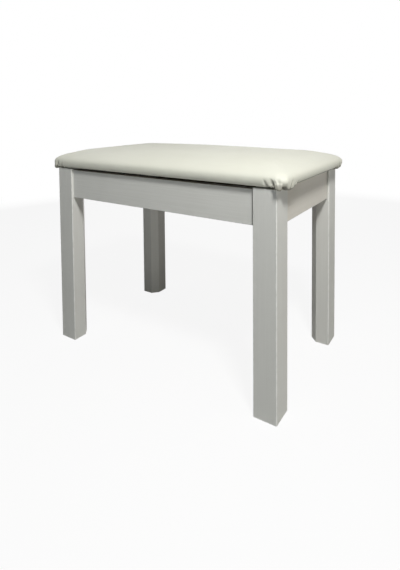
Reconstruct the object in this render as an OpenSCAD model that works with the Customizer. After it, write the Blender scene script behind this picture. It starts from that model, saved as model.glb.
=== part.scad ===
// Piano stool: four square legs, recessed rails with a music compartment, and a hinged padded lid.
// Millimetres. +X to the right, +Y to the back, +Z up. Origin on the floor, at the middle of the stool.

/* [Frame] */
// Width over the outer faces of the legs
stool_w = 620; // [520:5:760]
// Depth over the outer faces of the legs
stool_d = 354; // [320:2:420]
// Height of the legs
leg_h = 443; // [400:1:480]
// Side of the square leg section
leg_w = 50; // [44:1:56]
// Length that the full-height chamfer takes off each side at the inner corner of a leg
leg_chamfer = 17; // [12:1:22]
// Eased edge on the outer corners of legs and rails
arris = 1.2; // [0.5:0.1:2]

/* [Rails] */
// Height of the rails
rail_h = 70; // [64:1:90]
// Thickness of the rails
rail_t = 18; // [16:1:20]
// How far the rails stand back from the outer faces of the legs
rail_recess = 5; // [3:0.5:7]
// How far the top of the rails lies below the top of the legs
rail_drop = 3; // [2:0.5:6]

/* [Compartment] */
// Thickness of the floor panel of the music compartment
floor_t = 4; // [3:0.5:6]
// Height of the groove above the lower edge of the rails
groove_rise = 4; // [3:0.5:6]
// Depth of the groove in the rails
groove_depth = 6; // [4:0.5:8]
// Extra height of the groove over the floor panel
groove_play = 0.3; // [0.1:0.1:0.5]
// Gap between the floor panel and the bottom of the groove
floor_end_gap = 0.5; // [0.3:0.1:1]
// Gap between the floor panel and the legs
floor_notch_gap = 0.5; // [0.3:0.1:1]

/* [Seat] */
// How far the plywood seat board reaches past the legs at each side
board_over = 2.8; // [1:0.2:5]
// How far the seat board stays behind the faces of the legs at the front and the back
board_under = 10.6; // [8:0.2:14]
// Thickness of the plywood seat board
board_t = 12; // [11:1:15]
// Corner radius of the seat board in plan
board_corner = 5; // [4:1:12]
// Play between the board and the foam wrapped around it
board_play = 0.2; // [0.1:0.1:0.4]
// How far the foam bulges past the edge of the board
roll_out = 17; // [12:1:22]
// Thickness of the foam round the lower edge of the board
foam_lip = 2; // [1:0.5:4]
// Height of the widest line of the pad above the underside of the board
roll_rise = 12.5; // [9:0.5:14]
// Width of the soft rounded edge on top of the pad
shoulder_w = 105; // [60:1:110]
// Height of the soft rounded edge on top of the pad
shoulder_h = 28; // [20:0.5:34]
// Crown of the pad above its shoulder
crown = 7; // [4:0.5:12]
// Thickness of the vinyl cover
cover_t = 0.9; // [0.7:0.1:1.2]
// Width of the cover turned in under the board
cover_turn_in = 25; // [18:1:35]
// Thickness of the dust cloth under the seat
cloth_t = 0.5; // [0.3:0.1:0.8]
// How far the dust cloth stays inside the edge of the board
cloth_inset = 10; // [8:1:14]

/* [Buffers] */
// Height of the rubber buffers on top of the legs
buffer_h = 2.5; // [2:0.5:5]
// Diameter of the rubber buffers
buffer_d = 12; // [8:1:16]

/* [Corner joints] */
// Height of the pressed steel corner brackets
bracket_h = 40; // [30:1:50]
// Thickness of the corner brackets
bracket_t = 2; // [1.5:0.1:3]
// Gap between the corner bracket and the chamfer of the leg
bracket_gap = 6; // [4:0.5:8]
// Length of each bracket flange along its rail
bracket_flange = 18; // [16:1:20]
// Diameter of the hanger bolts
bolt_d = 8; // [6:1:10]
// Length of hanger bolt held in the leg
bolt_hold = 30; // [24:1:34]
// Length of hanger bolt standing out of the leg
bolt_reach = 24; // [23:1:28]
// Diameter of the washers on the hanger bolts
washer_d = 18; // [16:1:22]
// Thickness of the washers
washer_t = 1.6; // [1:0.1:2]
// Diameter of the hub of the wing nuts
wing_hub_d = 14; // [13:0.5:16]
// Height of the hub of the wing nuts
wing_hub_h = 7; // [6:0.5:9]
// Width over the wings of the wing nuts
wing_span = 34; // [28:1:40]

/* [Hinges] */
// Distance of each hinge from the back leg beside it
hinge_from_leg = 40; // [30:1:60]
// Length of each hinge
hinge_len = 60; // [50:1:65]
// Distance from the hinge pin to the far edge of each leaf
leaf_w = 24; // [22:1:28]
// Thickness of the hinge leaves
leaf_t = 1.6; // [1.2:0.1:2]
// Distance from the hinge pin to the face that each leaf is screwed to
pin_stand_off = 3.6; // [3.3:0.1:4.5]
// Outer diameter of the hinge knuckles
knuckle_d = 6.6; // [5.8:0.1:6.6]
// Diameter of the hinge pin
hinge_pin_d = 3.5; // [3:0.1:3.8]

/* [Lid stay] */
// Clearance between the stay's plate on the left rail and the corner bracket behind it
stay_from_bracket = 4.9; // [4:0.1:8]
// How far below the hinge pin the lower arm pivots
stay_rail_down = 24; // [23:1:26]
// How far in front of the lower arm's pivot the upper arm pivots on the lid
stay_lid_ahead = 19; // [17:0.5:21]
// How far below the hinge pin the upper arm pivots
stay_lid_down = 6; // [5.5:0.5:7]
// Length of the lower arm between its pivot and the elbow
stay_arm_l = 76; // [74:1:78]
// Angle of the lower arm below level, towards the front, with the lid closed
stay_fold_angle = 10; // [9:0.5:11]
// Turn of the lower arm for each degree that the lid opens
stay_ratio = 1.28; // [1.24:0.01:1.32]
// Angle of the open lid
lid_open_angle = 75; // [70:1:76]
// Width of the stay arms
stay_w = 12; // [11:0.5:14]
// Thickness of the stay arms
stay_t = 2; // [1.5:0.1:2.2]
// Thickness of the stay brackets
stay_plate_t = 1.5; // [1.2:0.1:2]
// Diameter of the stay rivets
stay_rivet_d = 4; // [3:0.5:5]

/* [Screws and staples] */
// Shank diameter of the bracket screws
pan_screw_d = 4; // [3:0.5:4.5]
// Length of the bracket screws
pan_screw_l = 15; // [12:1:16]
// Shank diameter of the countersunk hinge and stay screws
flat_screw_d = 3; // [2.5:0.1:3.5]
// Length of the countersunk screws
flat_screw_l = 12; // [10:1:12]
// Distance between the staples under the seat
staple_pitch = 30; // [24:1:40]

/* [Hidden] */
$fn = 48;

// Colours as they show
paint = [0.86, 0.86, 0.83];
vinyl = [0.90, 0.90, 0.85];
zinc = [0.72, 0.73, 0.75];
brass = [0.80, 0.66, 0.36];
ply = [0.80, 0.66, 0.46];
foam_yellow = [0.93, 0.87, 0.66];
dark = [0.13, 0.13, 0.14];
hardboard = [0.62, 0.48, 0.34];

// One overrun serves all cuts
overrun = 1;
// Gap between neighbours that slide past each other
slide_gap = 0.3;
// Radial running gap of pins, rivets and screws in their holes
pin_fit = 0.05;

// Levels
rail_z = leg_h - rail_drop - rail_h;
floor_z = rail_z + groove_rise;
seat_z = leg_h + buffer_h;
cover_z = seat_z + cloth_t;
board_z = cover_z + cover_t;

// Seat board
board_w = stool_w + 2 * board_over;
board_d = stool_d - 2 * board_under;

// Places of the rails
rail_back_y = stool_d / 2 - rail_recess;
rail_in = rail_recess + rail_t;
side_in_x = stool_w / 2 - rail_in;
back_in_y = stool_d / 2 - rail_in;

// Corner joint, in corner places: u and v run inwards from the outer corner of the leg
bolt_z = rail_z + rail_h / 2;
chamfer_mid = leg_w - leg_chamfer / 2;
bracket_line = 2 * leg_w - leg_chamfer + bracket_gap * sqrt(2);
bracket_foot = bracket_line - rail_in;
bracket_end = bracket_foot + bracket_flange;
bracket_screw_share = 0.42;
bracket_screw_v = bracket_end - bracket_flange * bracket_screw_share;
screw_rise_share = 0.3;
bracket_screw_rise = bracket_h * screw_rise_share;
washer_seat = bracket_gap + bracket_t;
nut_seat = washer_seat + washer_t;
wing_t_share = 0.24;
wing_top_share = 1.55;

// Screw heads, as shares of the shank diameter
pan_head_share = 1.0;
pan_rise_share = 0.55;
flat_head_share = 1.0;
flat_rise_share = 0.5;
recess_w_share = 0.22;
recess_l_share = 1.15;
recess_depth_share = 0.35;

// Hinges
hinge_x = stool_w / 2 - leg_w - hinge_from_leg - hinge_len / 2;
hinge_y = rail_back_y + pin_stand_off;
hinge_z = seat_z - pin_stand_off;
knuckles = 5;
knuckle_l = hinge_len / knuckles;
knuckle_gap = 0.3;
leaf_start = knuckle_d / 2 + slide_gap;
leaf_screws = 3;
leaf_screw_share = 0.6;
leaf_screw_reach = leaf_w * leaf_screw_share;
leaf_screw_pitch = hinge_len / leaf_screws;
pin_head_t = 0.8;
pin_head_share = 1.45;
pin_head_d = hinge_pin_d * pin_head_share;

// Lid stay: places are [forward of the hinge pin, above the hinge pin]
stay_plate_w = 14;
stay_rail_forward = hinge_y - stool_d / 2 + bracket_end + stay_from_bracket + stay_plate_w / 2;
stay_lid_forward = stay_rail_forward + stay_lid_ahead;
stay_rail_pivot = [stay_rail_forward, -stay_rail_down];
stay_lid_pivot = [stay_lid_forward, -stay_lid_down];
function turned(p, a) = [p[0] * cos(a) - p[1] * sin(a), p[0] * sin(a) + p[1] * cos(a)];
function elbow(lid) = stay_rail_pivot + turned([stay_arm_l, 0], stay_ratio * lid - stay_fold_angle);
function elbow_from_lid(lid) = elbow(lid) - turned(stay_lid_pivot, lid);
slot_spare = 0.5;
slot_start = norm(elbow_from_lid(0)) - slot_spare;
slot_end = norm(elbow_from_lid(lid_open_angle)) + slot_spare;
slot_r = stay_rivet_d / 2 + slot_spare;
upper_angle = atan2(elbow_from_lid(0)[1], elbow_from_lid(0)[0]);
rivet_head_share = 2.0;
rivet_head_r = stay_rivet_d / 2 * rivet_head_share;
rivet_rise_share = 0.4;
rivet_head_t = stay_t * rivet_rise_share;

// The layers of the stay, from the left rail inwards
stay_plate_x = -side_in_x + stay_plate_t;
lower_x = stay_plate_x + slide_gap + stay_t;
upper_x = lower_x + slide_gap + stay_t;
ear_x = upper_x + slide_gap + stay_plate_t;
stay_flange = 16;
stay_flange_l = 30;
stay_flange_screw_share = 0.3;
stay_plate_screw_rise = 13;

// Staples, with their wire and legs
staple_w = 10;
staple_wire = 0.6;
staple_wire_w = 1.2;
staple_leg = 6;
staple_in = 5;

// Soft form of the pad: rings of a rounded rectangle, from the underside to the crown
corner_steps = 4;
long_steps = 6;
short_steps = 4;
under_shares = [0, 0.30, 0.62, 1];
shoulder_shares = [0.16, 0.34, 0.54, 0.77, 1];
crown_shares = [0.80, 0.55, 0.28];

// Points of a rounded rectangle with half sizes a and b and corner radius r, at one height
function ring(a, b, r) = concat(
    [for (i = [0:short_steps - 1]) [a, -(b - r) + 2 * (b - r) * i / short_steps]],
    arc(a - r, b - r, r, 0),
    [for (i = [1:long_steps - 1]) [(a - r) - 2 * (a - r) * i / long_steps, b]],
    arc(-(a - r), b - r, r, 90),
    [for (i = [1:short_steps - 1]) [-a, (b - r) - 2 * (b - r) * i / short_steps]],
    arc(-(a - r), -(b - r), r, 180),
    [for (i = [1:long_steps - 1]) [-(a - r) + 2 * (a - r) * i / long_steps, -b]],
    arc(a - r, -(b - r), r, 270, 1)
);
function arc(x, y, r, start, last = 0) =
    [for (i = [0:corner_steps - last]) [x + r * cos(start + 90 * i / corner_steps),
                                        y + r * sin(start + 90 * i / corner_steps)]];

// Half sizes of the pad at its widest line, for a skin of the given thickness
function half_w(skin) = board_w / 2 + board_play + roll_out + skin;
function half_d(skin) = board_d / 2 + board_play + roll_out + skin;
function corner_r(skin) = board_corner + roll_out + skin;
// How far a ring of the underside stands in from the widest line
function under_inset(s) = (roll_out - foam_lip) * (1 - sin(90 * s));
function lifted(points, z) = [for (p = points) [p[0], p[1], z]];
// Height of the crown over a point of the top
function dome(p, skin) = crown * (1 - pow(p[0] / half_w(skin), 2)) * (1 - pow(p[1] / half_d(skin), 2));
function under_ring(s, skin) = lifted(
    ring(half_w(skin) - under_inset(s), half_d(skin) - under_inset(s), corner_r(skin) - under_inset(s)),
    board_z - skin + (roll_rise + skin) * (1 - cos(90 * s)));
function top_ring(s, skin) = [
    for (p = ring(half_w(skin) - shoulder_w * (1 - cos(90 * s)),
                  half_d(skin) - shoulder_w * (1 - cos(90 * s)),
                  corner_r(skin) * (1 - s / 2)))
        [p[0], p[1], board_z + roll_rise + (shoulder_h + skin) * sin(90 * s) + dome(p, skin) * s * s]];
function crown_ring(s, skin) = [
    for (p = ring((half_w(skin) - shoulder_w) * s, (half_d(skin) - shoulder_w) * s, corner_r(skin) * s / 2))
        [p[0], p[1], board_z + roll_rise + shoulder_h + skin + dome(p, skin)]];
function pad_rings(skin) = concat(
    [for (s = under_shares) under_ring(s, skin)],
    [for (s = shoulder_shares) top_ring(s, skin)],
    [for (s = crown_shares) crown_ring(s, skin)]);

// Closed form of the pad, of triangles
module pad_form(skin) {
    rings = pad_rings(skin);
    n = len(rings[0]);
    last = len(rings) - 1;
    middle = (last + 1) * n;
    points = concat([for (r = rings) each r],
                    [[0, 0, board_z + roll_rise + shoulder_h + skin + crown]],
                    [[0, 0, board_z - skin]]);
    faces = concat(
        [for (k = [0:last - 1], i = [0:n - 1]) [k * n + i, (k + 1) * n + (i + 1) % n, k * n + (i + 1) % n]],
        [for (k = [0:last - 1], i = [0:n - 1]) [k * n + i, (k + 1) * n + i, (k + 1) * n + (i + 1) % n]],
        [for (i = [0:n - 1]) [last * n + i, middle, last * n + (i + 1) % n]],
        [for (i = [0:n - 1]) [i, (i + 1) % n, middle + 1]]);
    polyhedron(points, faces);
}

// Puts a corner drawing, with u and v inwards from the outer corner, at one of the four corners
module at_corner(sx, sy) {
    translate([sx * stool_w / 2, sy * stool_d / 2, 0])
        mirror([sx > 0 ? 1 : 0, 0, 0])
            mirror([0, sy > 0 ? 1 : 0, 0])
                children();
}

module at_all_corners() {
    for (sx = [-1, 1], sy = [-1, 1])
        at_corner(sx, sy) children();
}

// The axis of a hanger bolt: out of the chamfer of the leg, towards the compartment
module along_bolt() {
    translate([chamfer_mid, chamfer_mid, bolt_z]) rotate([0, 90, 45]) children();
}

// Puts a side drawing, [forward, up], in a layer of the stay that ends at the given x
module in_stay_layer(x, thick) {
    translate([x, hinge_y, hinge_z]) rotate([90, 0, -90]) linear_extrude(thick) children();
}

module cross_recess(d) {
    for (a = [0, 90])
        rotate(a)
            translate([-d * recess_l_share / 2, -d * recess_w_share / 2, -d * recess_depth_share])
                cube([d * recess_l_share, d * recess_w_share, d * recess_depth_share + overrun]);
}

// Pan head screw: the head sits on z = 0 and the shank goes down
module pan_screw(d, length) {
    head_r = d * pan_head_share;
    head_h = d * pan_rise_share;
    difference() {
        rotate_extrude()
            polygon([[0, -length], [d / 2, -length + d], [d / 2, 0], [head_r, 0],
                     [head_r, head_h / 2], [head_r - head_h / 2, head_h], [0, head_h]]);
        translate([0, 0, head_h]) cross_recess(d);
    }
}

// Countersunk screw: the flat of the head is at z = 0 and the shank goes down
module flat_screw(d, length) {
    head_r = d * flat_head_share;
    difference() {
        rotate_extrude()
            polygon([[0, -length], [d / 2, -length + d], [d / 2, -d * flat_rise_share], [head_r, 0], [0, 0]]);
        cross_recess(d);
    }
}

// The hole for a countersunk screw, wider by the running gap
module flat_screw_hole(d, length) {
    head_r = d * flat_head_share;
    rotate_extrude()
        polygon([[0, -length - pin_fit], [d / 2 + pin_fit, -length - pin_fit],
                 [d / 2 + pin_fit, -d * flat_rise_share], [head_r + pin_fit, 0],
                 [head_r + pin_fit, overrun], [0, overrun]]);
}

// Section of a leg in corner places, with its chamfered inner corner
module leg_section() {
    polygon([[arris, 0], [leg_w - arris, 0], [leg_w, arris], [leg_w, leg_w - leg_chamfer],
             [leg_w - leg_chamfer, leg_w], [arris, leg_w], [0, leg_w - arris], [0, arris]]);
}

module leg(sx, sy) {
    color(paint)
        at_corner(sx, sy)
            difference() {
                linear_extrude(leg_h) leg_section();
                along_bolt()
                    translate([0, 0, -bolt_hold - pin_fit])
                        cylinder(r = bolt_d / 2 + pin_fit, h = bolt_hold + pin_fit + overrun);
            }
}

// Section of a rail: y from its outer face inwards, z upwards, with the groove for the floor
module rail_section() {
    difference() {
        polygon([[arris, 0], [rail_t - arris, 0], [rail_t, arris], [rail_t, rail_h - arris],
                 [rail_t - arris, rail_h], [arris, rail_h], [0, rail_h - arris], [0, arris]]);
        translate([rail_t - groove_depth, groove_rise])
            square([groove_depth + overrun, floor_t + groove_play]);
    }
}

// A rail between two legs, with its outer face on y = 0 and its middle at x = 0
module rail(over) {
    length = over - 2 * leg_w;
    difference() {
        translate([-length / 2, 0, rail_z]) rotate([90, 0, 90]) linear_extrude(length) rail_section();
        for (end = [-1, 1], up = [-1, 1])
            translate([end * (over / 2 - bracket_screw_v), rail_t, bolt_z + up * bracket_screw_rise])
                rotate([90, 0, 0])
                    translate([0, 0, -overrun])
                        cylinder(r = pan_screw_d / 2 + pin_fit, h = pan_screw_l - bracket_t + pin_fit + overrun);
    }
}

module front_rail() {
    color(paint) translate([0, -rail_back_y, 0]) rail(stool_w);
}

module back_rail() {
    color(paint)
        difference() {
            translate([0, rail_back_y, 0]) rotate(180) rail(stool_w);
            place_rail_leaf_screws() flat_screw_hole(flat_screw_d, flat_screw_l);
        }
}

module left_rail() {
    color(paint)
        difference() {
            translate([-stool_w / 2 + rail_recess, 0, 0]) rotate(-90) rail(stool_d);
            place_stay_rail_screws() flat_screw_hole(flat_screw_d, flat_screw_l);
        }
}

module right_rail() {
    color(paint) translate([stool_w / 2 - rail_recess, 0, 0]) rotate(90) rail(stool_d);
}

// The floor panel slides in the grooves of the rails and is notched round the legs
module compartment_floor() {
    half_x = side_in_x + groove_depth - floor_end_gap;
    half_y = back_in_y + groove_depth - floor_end_gap;
    notch = leg_w + floor_notch_gap;
    notch_line = 2 * leg_w - leg_chamfer + floor_notch_gap * sqrt(2);
    color(hardboard)
        translate([0, 0, floor_z])
            difference() {
                translate([-half_x, -half_y, 0]) cube([2 * half_x, 2 * half_y, floor_t]);
                at_all_corners()
                    translate([0, 0, -overrun])
                        linear_extrude(floor_t + 2 * overrun)
                            polygon([[0, 0], [notch, 0], [notch, notch_line - notch],
                                     [notch_line - notch, notch], [0, notch]]);
            }
}

// Pressed steel corner bracket: a plate across the corner with a flange on each rail
module corner_bracket(sx, sy) {
    bend = bracket_foot + bracket_t * (sqrt(2) - 1);
    color(zinc)
        at_corner(sx, sy)
            difference() {
                translate([0, 0, bolt_z - bracket_h / 2])
                    linear_extrude(bracket_h)
                        polygon([[rail_in, bracket_foot], [rail_in, bracket_end],
                                 [rail_in + bracket_t, bracket_end], [rail_in + bracket_t, bend],
                                 [bend, rail_in + bracket_t], [bracket_end, rail_in + bracket_t],
                                 [bracket_end, rail_in], [bracket_foot, rail_in]]);
                along_bolt() cylinder(r = bolt_d / 2 + slide_gap, h = washer_seat + overrun);
                place_bracket_screws()
                    translate([0, 0, -bracket_t - overrun])
                        cylinder(r = pan_screw_d / 2 + pin_fit, h = bracket_t + 2 * overrun);
            }
}

// The four screws of one corner bracket, in corner places
module place_bracket_screws() {
    for (up = [-1, 1]) {
        translate([rail_in + bracket_t, bracket_screw_v, bolt_z + up * bracket_screw_rise])
            rotate([0, 90, 0]) children();
        translate([bracket_screw_v, rail_in + bracket_t, bolt_z + up * bracket_screw_rise])
            rotate([-90, 0, 0]) children();
    }
}

module bracket_screws() {
    color(zinc) at_all_corners() place_bracket_screws() pan_screw(pan_screw_d, pan_screw_l);
}

module hanger_bolts() {
    tip = bolt_d / 4;
    color(zinc)
        at_all_corners()
            along_bolt()
                rotate_extrude()
                    polygon([[0, -bolt_hold], [bolt_d / 2 - tip, -bolt_hold], [bolt_d / 2, -bolt_hold + bolt_d],
                             [bolt_d / 2, bolt_reach - tip / 2], [bolt_d / 2 - tip / 2, bolt_reach], [0, bolt_reach]]);
}

module bolt_washers() {
    color(zinc)
        at_all_corners()
            along_bolt()
                translate([0, 0, washer_seat])
                    difference() {
                        cylinder(d = washer_d, h = washer_t);
                        translate([0, 0, -overrun])
                            cylinder(r = bolt_d / 2 + slide_gap, h = washer_t + 2 * overrun);
                    }
}

// Wing nut: a hub with two upright wings
module wing_nuts() {
    hub_r = wing_hub_d / 2;
    wing_t = wing_hub_d * wing_t_share;
    wing_top = wing_hub_h * wing_top_share;
    color(zinc)
        at_all_corners()
            along_bolt()
                translate([0, 0, nut_seat])
                    difference() {
                        union() {
                            cylinder(r1 = hub_r, r2 = hub_r - wing_t / 2, h = wing_hub_h);
                            for (side = [0, 180])
                                rotate(side)
                                    translate([0, wing_t / 2, 0])
                                        rotate([90, 0, 0])
                                            linear_extrude(wing_t)
                                                wing_outline(hub_r, wing_top);
                        }
                        translate([0, 0, -overrun])
                            cylinder(r = bolt_d / 2 + pin_fit, h = wing_top + 2 * overrun);
                    }
}

module wing_outline(hub_r, wing_top) {
    ear_r = wing_hub_h * wing_t_share * 2;
    difference() {
        union() {
            polygon([[0, 0], [hub_r, 0], [wing_span / 2 - ear_r, wing_top - 2 * ear_r],
                     [wing_span / 2 - ear_r, wing_top], [hub_r, wing_hub_h], [0, wing_hub_h]]);
            translate([wing_span / 2 - ear_r, wing_top - ear_r]) circle(r = ear_r);
        }
        translate([-overrun, -overrun]) square([bolt_d / 2 + overrun, wing_top + 2 * overrun]);
    }
}

module leg_buffers() {
    color(dark)
        at_all_corners()
            translate([leg_w / 2, leg_w / 2, leg_h])
                cylinder(d = buffer_d, h = buffer_h);
}

// The knuckles of a leaf, as a row of rings on the hinge pin
module knuckle_rings(side, first) {
    for (i = [first:2:knuckles - 1])
        translate([side * hinge_x - hinge_len / 2 + i * knuckle_l + knuckle_gap / 2, hinge_y, hinge_z])
            rotate([0, 90, 0])
                cylinder(d = knuckle_d, h = knuckle_l - knuckle_gap);
}

module pin_bore(side) {
    translate([side * hinge_x - hinge_len / 2 - overrun, hinge_y, hinge_z])
        rotate([0, 90, 0])
            cylinder(r = hinge_pin_d / 2 + pin_fit, h = hinge_len + 2 * overrun);
}

module place_rail_leaf_screws() {
    for (side = [-1, 1], i = [0:leaf_screws - 1])
        translate([side * hinge_x + (i - (leaf_screws - 1) / 2) * leaf_screw_pitch,
                   rail_back_y + leaf_t, hinge_z - leaf_screw_reach])
            rotate([-90, 0, 0]) children();
}

module place_lid_leaf_screws() {
    for (side = [-1, 1], i = [0:leaf_screws - 1])
        translate([side * hinge_x + (i - (leaf_screws - 1) / 2) * leaf_screw_pitch,
                   hinge_y - leaf_screw_reach, seat_z - leaf_t])
            rotate([180, 0, 0]) children();
}

// Leaf screwed to the back face of the back rail, with the outer knuckles
module hinge_rail_leaf(side) {
    color(brass)
        difference() {
            union() {
                translate([side * hinge_x - hinge_len / 2, rail_back_y, hinge_z - leaf_w])
                    cube([hinge_len, leaf_t, leaf_w - leaf_start]);
                for (i = [0:2:knuckles - 1])
                    translate([side * hinge_x - hinge_len / 2 + i * knuckle_l + knuckle_gap / 2,
                               rail_back_y, hinge_z - leaf_start])
                        cube([knuckle_l - knuckle_gap, leaf_t, leaf_start]);
                knuckle_rings(side, 0);
            }
            pin_bore(side);
            place_rail_leaf_screws() flat_screw_hole(flat_screw_d, flat_screw_l);
        }
}

// Leaf screwed to the underside of the lid, with the inner knuckles
module hinge_lid_leaf(side) {
    color(brass)
        difference() {
            union() {
                translate([side * hinge_x - hinge_len / 2, hinge_y - leaf_w, seat_z - leaf_t])
                    cube([hinge_len, leaf_w - leaf_start, leaf_t]);
                for (i = [1:2:knuckles - 1])
                    translate([side * hinge_x - hinge_len / 2 + i * knuckle_l + knuckle_gap / 2,
                               hinge_y - leaf_start, seat_z - leaf_t])
                        cube([knuckle_l - knuckle_gap, leaf_start, leaf_t]);
                knuckle_rings(side, 1);
            }
            pin_bore(side);
            place_lid_leaf_screws() flat_screw_hole(flat_screw_d, flat_screw_l);
        }
}

module hinge_pin(side) {
    reach = hinge_len / 2 - knuckle_gap / 2;
    color(brass)
        translate([side * hinge_x, hinge_y, hinge_z])
            rotate([0, 90, 0]) {
                translate([0, 0, -reach]) cylinder(d = hinge_pin_d, h = 2 * reach);
                for (end = [-1, 1])
                    translate([0, 0, end * (reach + pin_head_t / 2) - pin_head_t / 2])
                        cylinder(d = pin_head_d, h = pin_head_t);
            }
}

module hinge_rail_screws() {
    color(brass) place_rail_leaf_screws() flat_screw(flat_screw_d, flat_screw_l);
}

module hinge_lid_screws() {
    color(brass) place_lid_leaf_screws() flat_screw(flat_screw_d, flat_screw_l);
}

// A bar with round ends between two places, [forward, up]
module stay_bar(from, length, angle) {
    translate(from)
        rotate(angle) {
            circle(d = stay_w);
            translate([0, -stay_w / 2]) square([length, stay_w]);
            translate([length, 0]) circle(d = stay_w);
        }
}

module place_stay_rail_screws() {
    for (up = [-1, 1])
        translate([stay_plate_x, hinge_y - stay_rail_forward,
                   hinge_z - stay_rail_down + up * stay_plate_screw_rise])
            rotate([0, 90, 0]) children();
}

module stay_rail_bracket() {
    color(zinc)
        difference() {
            in_stay_layer(stay_plate_x, stay_plate_t)
                difference() {
                    translate(stay_rail_pivot) {
                        translate([-stay_plate_w / 2, -stay_plate_screw_rise])
                            square([stay_plate_w, 2 * stay_plate_screw_rise]);
                        for (up = [-1, 1])
                            translate([0, up * stay_plate_screw_rise]) circle(d = stay_plate_w);
                    }
                    translate(stay_rail_pivot) circle(r = stay_rivet_d / 2 + pin_fit);
                }
            place_stay_rail_screws() flat_screw_hole(flat_screw_d, flat_screw_l);
        }
}

module stay_rail_screws() {
    color(zinc) place_stay_rail_screws() flat_screw(flat_screw_d, flat_screw_l);
}

// A rivet through two layers: a shank and a head past its inner end
module rivet(place, x_out, x_in) {
    translate([x_out, hinge_y - place[0], hinge_z + place[1]])
        rotate([0, 90, 0]) {
            cylinder(d = stay_rivet_d, h = x_in - x_out + slide_gap);
            translate([0, 0, x_in - x_out + slide_gap]) cylinder(r = rivet_head_r, h = rivet_head_t);
        }
}

module stay_rail_rivet() {
    color(zinc) rivet(stay_rail_pivot, -side_in_x, lower_x);
}

module stay_lower_arm() {
    color(zinc)
        in_stay_layer(lower_x, stay_t)
            difference() {
                stay_bar(stay_rail_pivot, stay_arm_l, -stay_fold_angle);
                translate(stay_rail_pivot) circle(r = stay_rivet_d / 2 + pin_fit);
                translate(elbow(0)) circle(r = stay_rivet_d / 2 + pin_fit);
            }
}

// The elbow rivet is fixed in the lower arm and slides in the slot of the upper arm
module stay_elbow_rivet() {
    color(zinc) {
        rivet(elbow(0), lower_x - stay_t - rivet_head_t, upper_x);
        translate([lower_x - stay_t - rivet_head_t, hinge_y - elbow(0)[0], hinge_z + elbow(0)[1]])
            rotate([0, 90, 0]) cylinder(r = rivet_head_r, h = rivet_head_t);
    }
}

module stay_upper_arm() {
    color(zinc)
        in_stay_layer(upper_x, stay_t)
            difference() {
                stay_bar(stay_lid_pivot, slot_end, upper_angle);
                translate(stay_lid_pivot) circle(r = stay_rivet_d / 2 + pin_fit);
                translate(stay_lid_pivot)
                    rotate(upper_angle) {
                        translate([slot_start, -slot_r]) square([slot_end - slot_start, 2 * slot_r]);
                        for (reach = [slot_start, slot_end])
                            translate([reach, 0]) circle(r = slot_r);
                    }
            }
}

// The lid rivet goes through the ear of the lid bracket, with its head outside the upper arm
module stay_lid_rivet() {
    shank = ear_x - upper_x + stay_t + slide_gap;
    color(zinc)
        translate([ear_x, hinge_y - stay_lid_forward, hinge_z - stay_lid_down])
            rotate([0, -90, 0]) {
                cylinder(d = stay_rivet_d, h = shank);
                translate([0, 0, shank]) cylinder(r = rivet_head_r, h = rivet_head_t);
            }
}

module place_stay_lid_screws() {
    for (end = [-1, 1])
        translate([ear_x + stay_flange / 2, hinge_y - stay_lid_forward + end * stay_flange_l * stay_flange_screw_share,
                   seat_z - stay_plate_t])
            rotate([180, 0, 0]) children();
}

// Angle bracket under the lid: a flange with two screws and an ear for the upper arm
module stay_lid_bracket() {
    color(zinc)
        difference() {
            union() {
                translate([ear_x - stay_plate_t, hinge_y - stay_lid_forward - stay_flange_l / 2, seat_z - stay_plate_t])
                    cube([stay_flange, stay_flange_l, stay_plate_t]);
                in_stay_layer(ear_x, stay_plate_t) {
                    translate(stay_lid_pivot) circle(d = stay_w);
                    translate([stay_lid_forward - stay_w / 2, -stay_lid_down])
                        square([stay_w, stay_lid_down + pin_stand_off]);
                }
            }
            in_stay_layer(ear_x + overrun, stay_plate_t + 2 * overrun)
                translate(stay_lid_pivot) circle(r = stay_rivet_d / 2 + pin_fit);
            place_stay_lid_screws() flat_screw_hole(flat_screw_d, flat_screw_l);
        }
}

module stay_lid_screws() {
    color(zinc) place_stay_lid_screws() flat_screw(flat_screw_d, flat_screw_l);
}

// Flat panel with round corners, centred on the stool
module round_panel(w, d, r) {
    square([w - 2 * r, d], center = true);
    square([w, d - 2 * r], center = true);
    for (sx = [-1, 1], sy = [-1, 1])
        translate([sx * (w / 2 - r), sy * (d / 2 - r)]) circle(r = r);
}

module lid_screw_holes() {
    place_lid_leaf_screws() flat_screw_hole(flat_screw_d, flat_screw_l);
    place_stay_lid_screws() flat_screw_hole(flat_screw_d, flat_screw_l);
}

module seat_board() {
    color(ply)
        difference() {
            translate([0, 0, board_z]) linear_extrude(board_t) round_panel(board_w, board_d, board_corner);
            lid_screw_holes();
        }
}

// Foam over the board and round its edges
module seat_foam() {
    color(foam_yellow)
        difference() {
            pad_form(0);
            translate([0, 0, board_z - overrun])
                linear_extrude(board_t + overrun)
                    round_panel(board_w + 2 * board_play, board_d + 2 * board_play, board_corner + board_play);
        }
}

// Vinyl skin round the foam, turned in under the board
module seat_cover() {
    open_w = board_w - 2 * cover_turn_in;
    open_d = board_d - 2 * cover_turn_in;
    color(vinyl)
        difference() {
            pad_form(cover_t);
            pad_form(0);
            translate([-open_w / 2, -open_d / 2, cover_z - overrun])
                cube([open_w, open_d, board_t / 2 + overrun]);
            lid_screw_holes();
        }
}

module dust_cloth() {
    color(dark)
        difference() {
            translate([0, 0, seat_z])
                linear_extrude(cloth_t)
                    round_panel(board_w - 2 * cloth_inset, board_d - 2 * cloth_inset, board_corner / 2);
            lid_screw_holes();
        }
}

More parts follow.
